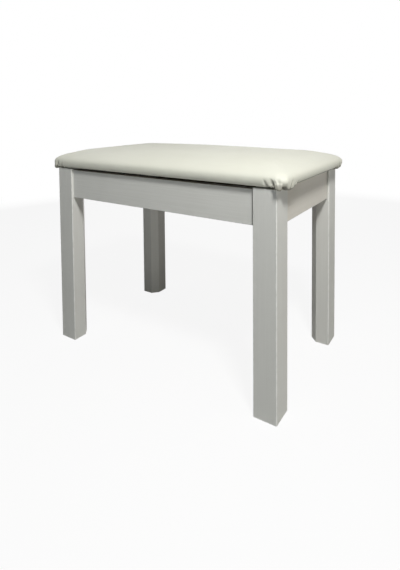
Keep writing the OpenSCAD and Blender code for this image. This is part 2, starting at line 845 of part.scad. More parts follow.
module staple() {
    translate([-staple_w / 2, -staple_wire_w / 2, -staple_wire]) cube([staple_w, staple_wire_w, staple_wire]);
    for (end = [-1, 1])
        translate([end * (staple_w - staple_wire) / 2 - staple_wire / 2, -staple_wire_w / 2, -staple_wire])
            cube([staple_wire, staple_wire_w, staple_leg + staple_wire]);
}

// Staples along the edges of the dust cloth, left out at the hinges and the buffers
module underside_staples() {
    edge_x = board_w / 2 - cloth_inset - staple_in;
    edge_y = board_d / 2 - cloth_inset - staple_in;
    run_x = stool_w / 2 - leg_w / 2 - buffer_d;
    run_y = stool_d / 2 - leg_w / 2 - buffer_d;
    steps_x = floor(2 * run_x / staple_pitch);
    steps_y = floor(2 * run_y / staple_pitch);
    clear = (hinge_len + staple_w) / 2 + slide_gap;
    color(zinc)
        translate([0, 0, seat_z]) {
            for (i = [0:steps_x], side = [-1, 1]) {
                x = (i - steps_x / 2) * staple_pitch;
                if (side < 0 || abs(abs(x) - hinge_x) > clear)
                    translate([x, side * edge_y, 0]) staple();
            }
            for (i = [0:steps_y], side = [-1, 1])
                translate([side * edge_x, (i - steps_y / 2) * staple_pitch, 0]) rotate(90) staple();
        }
}

leg(-1, -1);  // leg_front_left
leg(1, -1);  // leg_front_right
leg(-1, 1);  // leg_back_left
leg(1, 1);  // leg_back_right
front_rail();
back_rail();
left_rail();
right_rail();
compartment_floor();
corner_bracket(-1, -1);  // corner_bracket_front_left
corner_bracket(1, -1);  // corner_bracket_front_right
corner_bracket(-1, 1);  // corner_bracket_back_left
corner_bracket(1, 1);  // corner_bracket_back_right
hanger_bolts();
bolt_washers();
wing_nuts();
bracket_screws();
leg_buffers();
hinge_rail_leaf(-1);  // hinge_rail_leaf_left
hinge_rail_leaf(1);  // hinge_rail_leaf_right
hinge_lid_leaf(-1);  // hinge_lid_leaf_left
hinge_lid_leaf(1);  // hinge_lid_leaf_right
hinge_pin(-1);  // hinge_pin_left
hinge_pin(1);  // hinge_pin_right
hinge_rail_screws();
hinge_lid_screws();
stay_rail_bracket();
stay_rail_rivet();
stay_rail_screws();
stay_lower_arm();
stay_elbow_rivet();
stay_upper_arm();
stay_lid_rivet();
stay_lid_bracket();
stay_lid_screws();
seat_board();
seat_foam();
seat_cover();
dust_cloth();
underside_staples();
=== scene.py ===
"""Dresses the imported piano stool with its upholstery, fixings, finishes, camera and studio light.

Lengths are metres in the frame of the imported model: +X runs to the right along the seat, +Y to
the hinged back and +Z up from the floor.
"""

import logging
import math
from dataclasses import dataclass
from enum import Enum

import bmesh
import bpy
import numpy as np
from mathutils import Matrix, Vector
from mathutils.kdtree import KDTree


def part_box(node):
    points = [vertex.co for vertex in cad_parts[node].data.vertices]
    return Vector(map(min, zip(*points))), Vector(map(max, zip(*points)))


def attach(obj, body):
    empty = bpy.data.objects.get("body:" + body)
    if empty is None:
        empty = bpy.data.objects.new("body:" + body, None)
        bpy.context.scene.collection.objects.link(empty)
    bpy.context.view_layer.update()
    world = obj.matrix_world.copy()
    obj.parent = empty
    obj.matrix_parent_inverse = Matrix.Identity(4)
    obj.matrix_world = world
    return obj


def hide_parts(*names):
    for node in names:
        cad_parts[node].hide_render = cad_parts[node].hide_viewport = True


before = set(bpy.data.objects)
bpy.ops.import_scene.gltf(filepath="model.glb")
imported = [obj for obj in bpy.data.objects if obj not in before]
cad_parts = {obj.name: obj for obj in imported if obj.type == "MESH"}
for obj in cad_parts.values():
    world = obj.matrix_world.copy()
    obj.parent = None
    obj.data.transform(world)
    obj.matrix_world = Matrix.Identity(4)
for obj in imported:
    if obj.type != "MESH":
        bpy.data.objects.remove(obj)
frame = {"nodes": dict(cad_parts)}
log = logging.getLogger("piano_stool")

Colour = tuple[float, float, float, float]
Place = tuple[float, float, float]
Range = tuple[float, float]
Corners = tuple[float, float, float, float]
Array = np.ndarray
Places = dict[str, Array]
Socket = bpy.types.NodeSocket
Sockets = bpy.types.bpy_prop_collection

MILLIMETRE = 0.001
PHOTO_WIDTH = 400
PHOTO_HEIGHT = 570
SENSOR = 36.0
WHITE = (1.0, 1.0, 1.0, 1.0)

# The smallest divisor of a share, the smallest mean push, and how near two corners are one corner
LEAST = 0.05
TINY = 1e-5
SAME_PLACE = 1e-6


class Body(Enum):
    """The body of the stool that the pieces made here ride on."""

    LID = "lid"


class Grain(Enum):
    """The way that the wood grain of a painted piece runs, as the turn that lays it along X."""

    ALONG_X = (0.0, 0.0, 0.0)
    ALONG_Y = (0.0, 0.0, -math.pi / 2)
    UPRIGHT = (0.0, math.pi / 2, 0.0)


class Effect(Enum):
    """The surface effects of the finishes, each as a node group and one of its outputs."""

    CLOUD = ("mottle", "Cloud")
    GRAIN_LINES = ("wood_grain", "Lines")
    GRAIN_PORES = ("wood_grain", "Pores")
    PEBBLE = ("pebble", "Height")
    FURROW = ("pebble", "Furrow")
    EDGE = ("block_edges", "Edge")
    BRUSHED_LINES = ("brushed", "Lines")
    SMEAR = ("brushed", "Smear")
    PLIES = ("ply_layers", "Ply")
    WELDS = ("weld_dots", "Weld")


# Small tools for meshes and node trees


def smoothstep(low: float, high: float, value: Array) -> Array:
    """Returns 0 below low, 1 above high and a smooth rise between them."""
    share = np.clip((value - low) / (high - low), 0.0, 1.0)
    return share * share * (3.0 - 2.0 * share)


@dataclass(frozen=True)
class Span:
    """A stretch of a distance that is full near its middle and has soft ends."""

    middle: float
    full: float
    none: float

    def share(self, way: Array) -> Array:
        """Returns 1 within full of the middle, 0 past none and a smooth fall between them."""
        return 1.0 - smoothstep(self.full, self.none, np.abs(way - self.middle))


def at_height(flat: Array, height: float) -> Array:
    """Gives rows of x and y one height."""
    return np.column_stack([flat, np.full(len(flat), height)])


def link_object(name: str, data: bpy.types.ID) -> bpy.types.Object:
    """Makes an object in the scene.

    Args:
        name: Name of the object.
        data: Its mesh, camera or lamp.

    Returns:
        The new object, at the origin.
    """
    piece = bpy.data.objects.new(name, data)
    bpy.context.scene.collection.objects.link(piece)
    return piece


def link_mesh(name: str, points: Array, faces: list[tuple[int, ...]]) -> bpy.types.Object:
    """Makes a smooth shaded mesh object in the scene.

    Args:
        name: Name of the object and its mesh.
        points: Corners, one row of x, y and z for each.
        faces: Corner numbers of each face, counter-clockwise seen from outside.

    Returns:
        The new object, at the origin.
    """
    mesh = bpy.data.meshes.new(name)
    mesh.from_pydata([tuple(point) for point in points], [], faces)
    mesh.validate()
    mesh.polygons.foreach_set("use_smooth", [True] * len(mesh.polygons))
    mesh.update()
    return link_object(name, mesh)


def read_points(mesh: bpy.types.Mesh) -> Array:
    """Returns the corners of a mesh, one row for each.

    Args:
        mesh: The mesh.

    Returns:
        Rows of x, y and z.
    """
    flat = np.zeros(len(mesh.vertices) * 3)
    mesh.vertices.foreach_get("co", flat)
    return flat.reshape(-1, 3)


def read_normals(mesh: bpy.types.Mesh) -> Array:
    """Returns the normals at the corners of a mesh, one row for each.

    Args:
        mesh: The mesh.

    Returns:
        Rows of x, y and z, each of length 1.
    """
    flat = np.zeros(len(mesh.vertices) * 3, np.float32)
    mesh.vertex_normals.foreach_get("vector", flat)
    return flat.reshape(-1, 3).astype(float)


def write_points(mesh: bpy.types.Mesh, points: Array) -> None:
    """Moves the corners of a mesh to new places, one row for each."""
    mesh.vertices.foreach_set("co", points.ravel())
    mesh.update()


def report(piece: bpy.types.Object) -> None:
    """Writes one line on a finished piece to the log."""
    log.info("%s: %d faces", piece.name, len(piece.data.polygons))


class NodeBoard:
    """Adds, sets and joins the nodes of one tree."""

    def __init__(self, tree: bpy.types.NodeTree) -> None:
        """Keeps the tree that the nodes go into."""
        self.tree = tree

    def feed(self, socket: Socket, value: object) -> None:
        """Joins an output to an input socket, or sets the input's own value.

        Args:
            socket: The input.
            value: An output socket, or a plain number, vector, colour or material.
        """
        if isinstance(value, Socket):
            self.tree.links.new(value, socket)
        else:
            socket.default_value = value

    def add(self, kind: str, inputs: dict | None = None, **settings: object) -> bpy.types.Node:
        """Adds one node.

        Args:
            kind: Blender's name for the type of node.
            inputs: What goes into each input, by the input's name or number.
            **settings: Properties of the node.

        Returns:
            The new node.
        """
        node = self.tree.nodes.new(kind)
        for name, value in settings.items():
            setattr(node, name, value)
        for key, value in (inputs or {}).items():
            self.feed(node.inputs[key], value)
        return node

    def math(self, operation: str, *values: object) -> Socket:
        """Adds a Math node on one to three values and returns its output."""
        return self.add("ShaderNodeMath", dict(enumerate(values)), operation=operation).outputs[0]

    def vector(self, operation: str, *values: object) -> Socket:
        """Adds a Vector Math node on one or two vectors and returns its output."""
        return self.add("ShaderNodeVectorMath", dict(enumerate(values)), operation=operation).outputs[0]

    def add_share(self, total: object, value: object, share: float) -> Socket:
        """Adds a share of a value to a total."""
        return self.math("MULTIPLY_ADD", value, share, total)

    def remap(self, value: object, low: float, high: float, first: float = 0.0, last: float = 1.0) -> Socket:
        """Adds a clamped Map Range node that takes low to first and high to last."""
        return self.add("ShaderNodeMapRange", dict(enumerate((value, low, high, first, last)))).outputs[0]

    def blend(self, share: object, first: object, second: object) -> Socket:
        """Adds a colour Mix node and returns the mixed colour."""
        return self.add("ShaderNodeMix", {0: share, 6: first, 7: second}, data_type="RGBA").outputs[2]

    def join(self, x: object = 0.0, y: object = 0.0, z: object = 0.0) -> Socket:
        """Adds a Combine XYZ node and returns its vector."""
        return self.add("ShaderNodeCombineXYZ", {0: x, 1: y, 2: z}).outputs[0]

    def split(self, vector: object) -> Sockets:
        """Adds a Separate XYZ node and returns its three outputs."""
        return self.add("ShaderNodeSeparateXYZ", {0: vector}).outputs

    def noise(self, vector: object, scale: object, detail: object, distortion: float = 0.0) -> Sockets:
        """Adds a Noise Texture node and returns its outputs."""
        inputs = {"Vector": vector, "Scale": scale, "Detail": detail, "Distortion": distortion}
        return self.add("ShaderNodeTexNoise", inputs).outputs


# Surface effects, each a node group that is built once


def open_group(
    name: str,
    inputs: dict[str, float | None],
    outputs: list[str],
) -> tuple[NodeBoard, Sockets, Sockets]:
    """Starts a shader node group.

    Args:
        name: Name of the group.
        inputs: Default of each value input, or None for a vector input.
        outputs: Names of the value outputs.

    Returns:
        The board of the group, its inputs as sockets to read and its outputs as sockets to feed.
    """
    tree = bpy.data.node_groups.new(name, "ShaderNodeTree")
    for label, value in inputs.items():
        kind = "NodeSocketVector" if value is None else "NodeSocketFloat"
        socket = tree.interface.new_socket(name=label, in_out="INPUT", socket_type=kind)
        if value is not None:
            socket.default_value = value
    for label in outputs:
        tree.interface.new_socket(name=label, in_out="OUTPUT", socket_type="NodeSocketFloat")
    board = NodeBoard(tree)
    return board, board.add("NodeGroupInput").outputs, board.add("NodeGroupOutput").inputs


class Effects:
    """The shared node groups. Each has a Vector and its sizes as inputs."""

    def __init__(self) -> None:
        """Builds every group once."""
        self.groups = {
            "mottle": self._mottle(),
            "wood_grain": self._wood_grain(),
            "pebble": self._pebble(),
            "block_edges": self._block_edges(),
            "brushed": self._brushed(),
            "ply_layers": self._ply_layers(),
            "weld_dots": self._weld_dots(),
        }

    def place(self, board: NodeBoard, effect: Effect, inputs: dict[str, object]) -> Socket:
        """Places a group in a tree.

        Args:
            board: Board of the tree.
            effect: The effect, which names the group and its output.
            inputs: What goes into the group.

        Returns:
            The output.
        """
        group, output = effect.value
        return board.add("ShaderNodeGroup", inputs, node_tree=self.groups[group]).outputs[output]

    @staticmethod
    def _mottle() -> bpy.types.NodeTree:
        """Builds soft cloudy variation of one size, from 0 to 1.

        Returns:
            The tree of the group.
        """
        board, given, made = open_group("mottle", {"Vector": None, "Size": 0.05, "Detail": 3.0}, ["Cloud"])
        noise = board.noise(given["Vector"], board.math("DIVIDE", 1.0, given["Size"]), given["Detail"])
        board.feed(made["Cloud"], board.remap(noise[0], 0.32, 0.68))
        return board.tree

    @staticmethod
    def _wood_grain() -> bpy.types.NodeTree:
        """Builds long lines along the vector's X, as grain that shows through paint.

        Returns:
            The tree of the group.
        """
        inputs = {"Vector": None, "Spacing": 0.003, "Length": 0.15}
        board, given, made = open_group("wood_grain", inputs, ["Lines", "Pores"])
        across = board.math("DIVIDE", 1.0, given["Spacing"])
        along = board.math("DIVIDE", 1.0, given["Length"])
        place = board.vector("MULTIPLY", given["Vector"], board.join(along, across, across))
        lines = board.noise(place, scale=1.0, detail=2.0, distortion=0.25)
        pores = board.noise(place, scale=3.1, detail=1.0)
        board.feed(made["Lines"], board.remap(lines[0], 0.35, 0.65))
        board.feed(made["Pores"], board.remap(pores[0], 0.60, 0.72))
        return board.tree

    @staticmethod
    def _pebble() -> bpy.types.NodeTree:
        """Builds the small rounded cells of a leather grain and the furrows between them.

        Returns:
            The tree of the group.
        """
        board, given, made = open_group("pebble", {"Vector": None, "Size": 0.0012}, ["Height", "Furrow"])
        scale = board.math("DIVIDE", 1.0, given["Size"])
        wander = board.noise(given["Vector"], scale, detail=1.0)
        reach = (0.0006, 0.0006, 0.0006)
        push = board.vector("MULTIPLY", wander[1], reach)
        inputs = {"Vector": board.vector("ADD", given["Vector"], push), "Scale": scale, "Randomness": 0.85}
        cells = board.add("ShaderNodeTexVoronoi", inputs, feature="DISTANCE_TO_EDGE").outputs[0]
        board.feed(made["Height"], board.remap(cells, 0.0, 0.35))
        board.feed(made["Furrow"], board.remap(cells, 0.0, 0.09, 1.0, 0.0))
        return board.tree

    @staticmethod
    def _block_edges() -> bpy.types.NodeTree:
        """Builds a mask along the long edges of a block and its three mirror images about the middle.

        Returns:
            The tree of the group.
        """
        inputs = {"Vector": None, "Centre": None, "Half": None, "Width": 0.002}
        board, given, made = open_group("block_edges", inputs, ["Edge"])
        folded = board.vector("ABSOLUTE", given["Vector"])
        offset = board.vector("ABSOLUTE", board.vector("SUBTRACT", folded, given["Centre"]))
        gap = board.split(board.vector("SUBTRACT", given["Half"], offset))
        low = board.math("MINIMUM", gap[0], gap[1])
        high = board.math("MAXIMUM", gap[0], gap[1])
        middle = board.math("MAXIMUM", low, board.math("MINIMUM", high, gap[2]))
        rag = board.noise(given["Vector"], scale=90.0, detail=3.0)
        width = board.math("MULTIPLY", given["Width"], board.remap(rag[0], 0.3, 0.7, 0.35, 1.5))
        board.feed(made["Edge"], board.remap(board.math("DIVIDE", middle, width), 0.45, 1.0, 1.0, 0.0))
        return board.tree

    @staticmethod
    def _brushed() -> bpy.types.NodeTree:
        """Builds fine lines and smears for plated metal.

        Returns:
            The tree of the group.
        """
        board, given, made = open_group("brushed", {"Vector": None, "Spacing": 0.0004}, ["Lines", "Smear"])
        stretch = (0.04, 1.0, 0.6)
        place = board.vector("MULTIPLY", given["Vector"], stretch)
        lines = board.noise(place, board.math("DIVIDE", 1.0, given["Spacing"]), detail=2.0)
        smear = board.noise(given["Vector"], scale=70.0, detail=4.0, distortion=0.6)
        board.feed(made["Lines"], board.remap(lines[0], 0.3, 0.7))
        board.feed(made["Smear"], board.remap(smear[0], 0.35, 0.65))
        return board.tree

    @staticmethod
    def _ply_layers() -> bpy.types.NodeTree:
        """Builds the level layers of a plywood board, which show at its edges.

        Returns:
            The tree of the group.
        """
        board, given, made = open_group("ply_layers", {"Vector": None, "Scale": 130.0}, ["Ply"])
        inputs = {"Vector": given["Vector"], "Scale": given["Scale"]}
        wave = board.add("ShaderNodeTexWave", inputs, bands_direction="Z")
        board.feed(made["Ply"], wave.outputs["Fac"])
        return board.tree

    @staticmethod
    def _weld_dots() -> bpy.types.NodeTree:
        """Builds the rows of small weld dots in a bonded cloth.

        Returns:
            The tree of the group.
        """
        board, given, made = open_group("weld_dots", {"Vector": None, "Scale": 700.0}, ["Weld"])
        inputs = {"Vector": given["Vector"], "Scale": given["Scale"], "Randomness": 0.15}
        dots = board.add("ShaderNodeTexVoronoi", inputs, feature="F1")
        board.feed(made["Weld"], board.remap(dots.outputs["Distance"], 0.15, 0.35))
        return board.tree


# Finishes


@dataclass(frozen=True)
class Layer:
    """One effect in a finish.

    Its value, from 0 to 1, times shade is added to the share of the second colour, and times rough
    to the roughness. Times depth, in metres, it is the relief of the surface.
    """

    effect: Effect
    sizes: dict[str, float]
    shade: float = 0.0
    rough: float = 0.0
    depth: float = 0.0


class Coat(NodeBoard):
    """A material in the making, with its shader and its object coordinates."""

    def __init__(self, name: str) -> None:
        """Makes the material.

        Args:
            name: Name of the material.
        """
        self.material = bpy.data.materials.new(name)
        self.material.use_nodes = True
        super().__init__(self.material.node_tree)
        self.shader = self.tree.nodes["Principled BSDF"]
        self.place = self.add("ShaderNodeTexCoord").outputs["Object"]

    def give(self, **values: object) -> None:
        """Feeds inputs of the shader, named with an underscore for each space."""
        for name, value in values.items():
            self.feed(self.shader.inputs[name.replace("_", " ")], value)

    def turned(self, grain: Grain) -> Socket:
        """Returns the coordinates, turned so that the grain runs along X."""
        return self.add("ShaderNodeMapping", {"Vector": self.place, "Rotation": grain.value}).outputs[0]


@dataclass(frozen=True)
class Finish:
    """What every finish has: two colours, a roughness and the layers that vary them."""

    name: str
    colour: Colour
    second: Colour
    roughness: float
    layers: tuple[Layer, ...]
    metallic: float = 0.0
    specular: float = 0.5
    grain: Grain = Grain.ALONG_X

    def build(self, effects: Effects) -> bpy.types.Material:
        """Builds the material.

        Args:
            effects: The shared effects.

        Returns:
            The material.
        """
        coat = Coat(self.name)
        turned = coat.turned(self.grain)
        share, rough, normal = 0.0, self.roughness, None
        for layer in self.layers:
            vector = turned if layer.effect in (Effect.GRAIN_LINES, Effect.GRAIN_PORES) else coat.place
            value = effects.place(coat, layer.effect, {"Vector": vector, **layer.sizes})
            if layer.shade:
                share = coat.add_share(share, value, layer.shade)
            if layer.rough:
                rough = coat.add_share(rough, value, layer.rough)
            if layer.depth:
                bump = coat.add("ShaderNodeBump", {"Strength": 1.0, "Distance": layer.depth, "Height": value})
                if normal is not None:
                    coat.feed(bump.inputs["Normal"], normal)
                normal = bump.outputs["Normal"]
        tone, rough = self.wear(coat, effects, coat.blend(share, self.colour, self.second), rough)
        coat.give(Base_Color=tone, Roughness=rough, Normal=normal)
        coat.give(Metallic=self.metallic, Specular_IOR_Level=self.specular)
        return coat.material

    def wear(self, coat: Coat, effects: Effects, tone: Socket, rough: Socket) -> tuple[Socket, Socket]:
        """Returns the colour and the roughness as they are, for a finish without marks of its own."""
        return tone, rough


@dataclass(frozen=True)
class SatinPaint(Finish):
    """Off-white satin paint over wood, with faint grain, brush lines and a painted highlight on its edges.

    The edges are those of the block with that centre and half size and of its mirror images. A
    rail also has a joint, the distance along it at which it meets its second leg, where a thin
    dark line shows at that far end only: painted shadow of the leg, which stands proud of the
    rail, over a dark joint. The tops of the rails are a dark bare-wood tone, darkened further as
    painted shade, so that the gap under the seat reads black.
    """

    colour: Colour = (0.735, 0.735, 0.690, 1.0)
    second: Colour = (0.690, 0.686, 0.636, 1.0)
    roughness: float = 0.46
    layers: tuple[Layer, ...] = (
        Layer(Effect.GRAIN_LINES, {"Spacing": 0.0042, "Length": 0.19}, shade=0.30, depth=0.00009),
        Layer(Effect.CLOUD, {"Size": 0.06, "Detail": 3.0}, shade=0.22, rough=0.08),
        Layer(Effect.GRAIN_PORES, {"Spacing": 0.0042, "Length": 0.19}, shade=0.20),
        Layer(Effect.GRAIN_LINES, {"Spacing": 0.0011, "Length": 0.09}, depth=0.00003),
        Layer(Effect.CLOUD, {"Size": 0.0016, "Detail": 1.0}, depth=0.00002),
    )
    specular: float = 0.38
    centre: Place = (0.0, 0.0, 0.0)
    half: Place = (0.1, 0.1, 0.1)
    edge_width: float = 0.0021
    edge_highlight_share: float = 0.90
    edge_rough: float = -0.08
    # Lighter colour of the edges: a painted highlight where they catch the light
    edge_highlight: Colour = (0.860, 0.855, 0.820, 1.0)
    # The thin dark line where a rail meets its second leg: painted shadow of the leg over a dark joint
    joint: float = 0.0
    joint_line: float = 0.0044
    joint_shadow_fade: float = 0.0012
    joint_shadow_share: float = 0.8
    joint_shadow: Colour = (0.160, 0.152, 0.135, 1.0)
    # The rail tops: a dark bare-wood tone, darkened further as painted shade under the seat
    shaded_top_from: float = 0.0006
    shaded_top_full: float = 0.0003
    shaded_top_share: float = 0.95
    bare: Colour = (0.190, 0.155, 0.115, 1.0)

    def wear(self, coat: Coat, effects: Effects, tone: Socket, rough: Socket) -> tuple[Socket, Socket]:
        """Paints a highlight along the edges, the shadow of the leg at the joint and shade on the dark
        bare-wood top of a rail.

        Args:
            coat: The material in the making.
            effects: The shared effects.
            tone: The colour so far.
            rough: The roughness so far.

        Returns:
            The colour and the roughness with these marks.
        """
        block = {"Vector": coat.place, "Centre": self.centre, "Half": self.half, "Width": self.edge_width}
        edge = effects.place(coat, Effect.EDGE, block)
        # Painted highlight along the edges
        tone = coat.blend(coat.math("MULTIPLY", edge, self.edge_highlight_share), tone, self.edge_highlight)
        if self.joint:
            # Painted shadow of the leg on the rail's far end, over a dark joint
            gap = coat.math("SUBTRACT", self.joint, coat.split(coat.turned(self.grain))[0])
            line = coat.remap(gap, self.joint_line - self.joint_shadow_fade, self.joint_line, self.joint_shadow_share, 0.0)
            tone = coat.blend(line, tone, self.joint_shadow)
            # Painted shade on the rail top, over a dark bare-wood tone
            top = self.centre[2] + self.half[2]
            height = coat.split(coat.place)[2]
            bare = coat.remap(height, top - self.shaded_top_from, top - self.shaded_top_full, 0.0, self.shaded_top_share)
            tone = coat.blend(bare, tone, self.bare)
        return tone, coat.add_share(rough, edge, self.edge_rough)


@dataclass(frozen=True)
class CreamVinyl(Finish):
    """Cream vinyl with a fine pebbled grain, and painted shade in the folds and tucks of the corners."""

    name: str = "cream_vinyl_skin"
    colour: Colour = (0.815, 0.815, 0.705, 1.0)
    second: Colour = (0.765, 0.762, 0.645, 1.0)
    roughness: float = 0.45
    layers: tuple[Layer, ...] = (
        Layer(Effect.CLOUD, {"Size": 0.014, "Detail": 2.0}, depth=0.00022),
        Layer(Effect.PEBBLE, {"Size": 0.0016}, depth=0.00010),
        Layer(Effect.CLOUD, {"Size": 0.11, "Detail": 3.0}, shade=0.45, rough=0.07),
        Layer(Effect.FURROW, {"Size": 0.0016}, shade=0.30, rough=0.10),
    )
    # Painted shade in the folds, gathers and tucks of the cover, by the mesh's attribute
    fold: Colour = (0.185, 0.177, 0.142, 1.0)
    fold_shade_share: float = 0.88

    def wear(self, coat: Coat, effects: Effects, tone: Socket, rough: Socket) -> tuple[Socket, Socket]:
        """Paints shade into the folds, by the mesh's own attribute, and leaves the roughness as it is."""
        crease = coat.add("ShaderNodeAttribute", attribute_name="painted_fold_shade").outputs["Fac"]
        return coat.blend(coat.math("MULTIPLY", crease, self.fold_shade_share), tone, self.fold), rough


@dataclass(frozen=True)
class PlatedMetal(Finish):
    """Plated steel with brushed lines, smears and duller patches."""

    name: str = "zinc_plate"
    colour: Colour = (0.62, 0.63, 0.65, 1.0)
    second: Colour = (0.45, 0.46, 0.47, 1.0)
    roughness: float = 0.26
    layers: tuple[Layer, ...] = (
        Layer(Effect.SMEAR, {"Spacing": 0.0004}, rough=0.16),
        Layer(Effect.BRUSHED_LINES, {"Spacing": 0.0004}, rough=0.08, depth=0.00001),
        Layer(Effect.CLOUD, {"Size": 0.009, "Detail": 4.0}, shade=1.0, depth=0.00002),
    )
    metallic: float = 1.0


@dataclass(frozen=True)
class Hardboard(Finish):
    """Brown pressed board with matted fibres and a smooth, slightly glossy face."""

    name: str = "brown_hardboard"
    colour: Colour = (0.245, 0.135, 0.066, 1.0)
    second: Colour = (0.135, 0.068, 0.032, 1.0)
    roughness: float = 0.44
    layers: tuple[Layer, ...] = (
        Layer(Effect.CLOUD, {"Size": 0.0022, "Detail": 5.0}, shade=0.45, rough=0.18, depth=0.00005),
        Layer(Effect.CLOUD, {"Size": 0.045, "Detail": 4.0}, shade=0.30),
        Layer(Effect.GRAIN_PORES, {"Spacing": 0.0007, "Length": 0.006}, shade=0.30),
        Layer(Effect.GRAIN_LINES, {"Spacing": 0.0007, "Length": 0.006}, depth=0.00004),
    )


@dataclass(frozen=True)
class BareWood(Finish):
    """Bare plywood with grain along the board and its layers showing at the edges."""

    name: str = "bare_plywood"
    colour: Colour = (0.52, 0.34, 0.17, 1.0)
    second: Colour = (0.34, 0.20, 0.09, 1.0)
    roughness: float = 0.62
    layers: tuple[Layer, ...] = (
        Layer(Effect.GRAIN_LINES, {"Spacing": 0.0035, "Length": 0.12}, shade=0.6, rough=0.12, depth=0.00012),
        Layer(Effect.GRAIN_PORES, {"Spacing": 0.0035, "Length": 0.12}, shade=0.24),
        Layer(Effect.PLIES, {"Scale": 130.0}, shade=0.3),
    )


@dataclass(frozen=True)
class Rubber(Finish):
    """Matt black rubber with a bloom of paler dust."""

    name: str = "matt_rubber"
    colour: Colour = (0.018, 0.018, 0.019, 1.0)
    second: Colour = (0.055, 0.054, 0.052, 1.0)
    roughness: float = 0.72
    layers: tuple[Layer, ...] = (
        Layer(Effect.CLOUD, {"Size": 0.004, "Detail": 4.0}, shade=1.0, rough=0.15, depth=0.00006),
    )


@dataclass(frozen=True)
class Foam(Finish):
    """Open cell foam, pale yellow with darker pores."""

    name: str = "open_cell_foam"
    colour: Colour = (0.76, 0.64, 0.30, 1.0)
    second: Colour = (0.42, 0.31, 0.10, 1.0)
    roughness: float = 0.85
    layers: tuple[Layer, ...] = (
        Layer(Effect.CLOUD, {"Size": 0.03, "Detail": 3.0}, shade=0.2, rough=0.08),
        Layer(Effect.FURROW, {"Size": 0.0018}, shade=0.6),
        Layer(Effect.PEBBLE, {"Size": 0.0018}, depth=0.0004),
    )


@dataclass(frozen=True)
class SpunCloth(Finish):
    """Thin black cloth of bonded fibres, with its rows of small weld dots."""

    name: str = "black_spun_cloth"
    colour: Colour = (0.012, 0.012, 0.013, 1.0)
    second: Colour = (0.050, 0.050, 0.053, 1.0)
    roughness: float = 0.8
    layers: tuple[Layer, ...] = (
        Layer(Effect.CLOUD, {"Size": 0.012, "Detail": 4.0}, shade=0.4, rough=0.1),
        Layer(Effect.GRAIN_LINES, {"Spacing": 0.0004, "Length": 0.003}, shade=0.5, depth=0.00006),
        Layer(Effect.WELDS, {"Scale": 700.0}, depth=0.00008),
    )


def paint_over(name: str, node: str, grain: Grain, **fields: object) -> SatinPaint:
    """Makes the paint for one node and the pieces that mirror it about the middle of the stool.

    Args:
        name: Name of the material.
        node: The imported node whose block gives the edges.
        grain: The way that its grain runs.
        **fields: Other sizes and colours of the paint.

    Returns:
        The paint.
    """
    low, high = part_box(node)
    middle = tuple(abs(value) for value in (low + high) / 2)
    return SatinPaint(name, grain=grain, centre=middle, half=tuple((high - low) / 2), **fields)


class Finishes:
    """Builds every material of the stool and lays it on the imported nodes."""

    def __init__(self, effects: Effects) -> None:
        """Builds the materials from the shared effects, by the material slots of the imported nodes.

        Args:
            effects: The shared effects.
        """
        leg_low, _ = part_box("leg_back_right")
        legs = paint_over("satin_paint_legs", "leg_front_right", Grain.UPRIGHT)
        long_rails = paint_over("satin_paint_long_rails", "front_rail", Grain.ALONG_X, joint=leg_low.x)
        side_rails = paint_over(
            "satin_paint_side_rails",
            "right_rail",
            Grain.ALONG_Y,
            joint=leg_low.y,
            joint_line=0.0026,
            colour=(0.745, 0.715, 0.640, 1.0),
            second=(0.695, 0.664, 0.588, 1.0),
        )
        brass = PlatedMetal(
            "brass_plate_worn",
            colour=(0.63, 0.43, 0.16, 1.0),
            second=(0.42, 0.27, 0.10, 1.0),
            roughness=0.24,
        )
        by_slot = {
            "cream_vinyl": CreamVinyl(),
            "zinc_steel": PlatedMetal(),
            "brass_plate": brass,
            "hardboard": Hardboard(),
            "plywood": BareWood(),
            "black_rubber": Rubber(),
            "foam": Foam(),
            "dust_cloth": SpunCloth(),
        }
        self.by_slot = {slot: finish.build(effects) for slot, finish in by_slot.items()}
        self.painted = {}
        for paint, nodes in (
            (legs, ("leg_front_left", "leg_front_right", "leg_back_left", "leg_back_right")),
            (long_rails, ("front_rail", "back_rail")),
            (side_rails, ("left_rail", "right_rail")),
        ):
            self.painted.update(dict.fromkeys(nodes, paint.build(effects)))

    def lay_on(self, nodes: dict[str, bpy.types.Object]) -> None:
        """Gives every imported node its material.

        Args:
            nodes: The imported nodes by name.
        """
        for name, piece in nodes.items():
            for holder in piece.material_slots:
                slot = holder.material.name.split(".")[0]
                holder.material = self.painted[name] if slot == "painted_wood" else self.by_slot[slot]


# The padded seat: the form of the pad, its folds at the corners, the cover and the foam


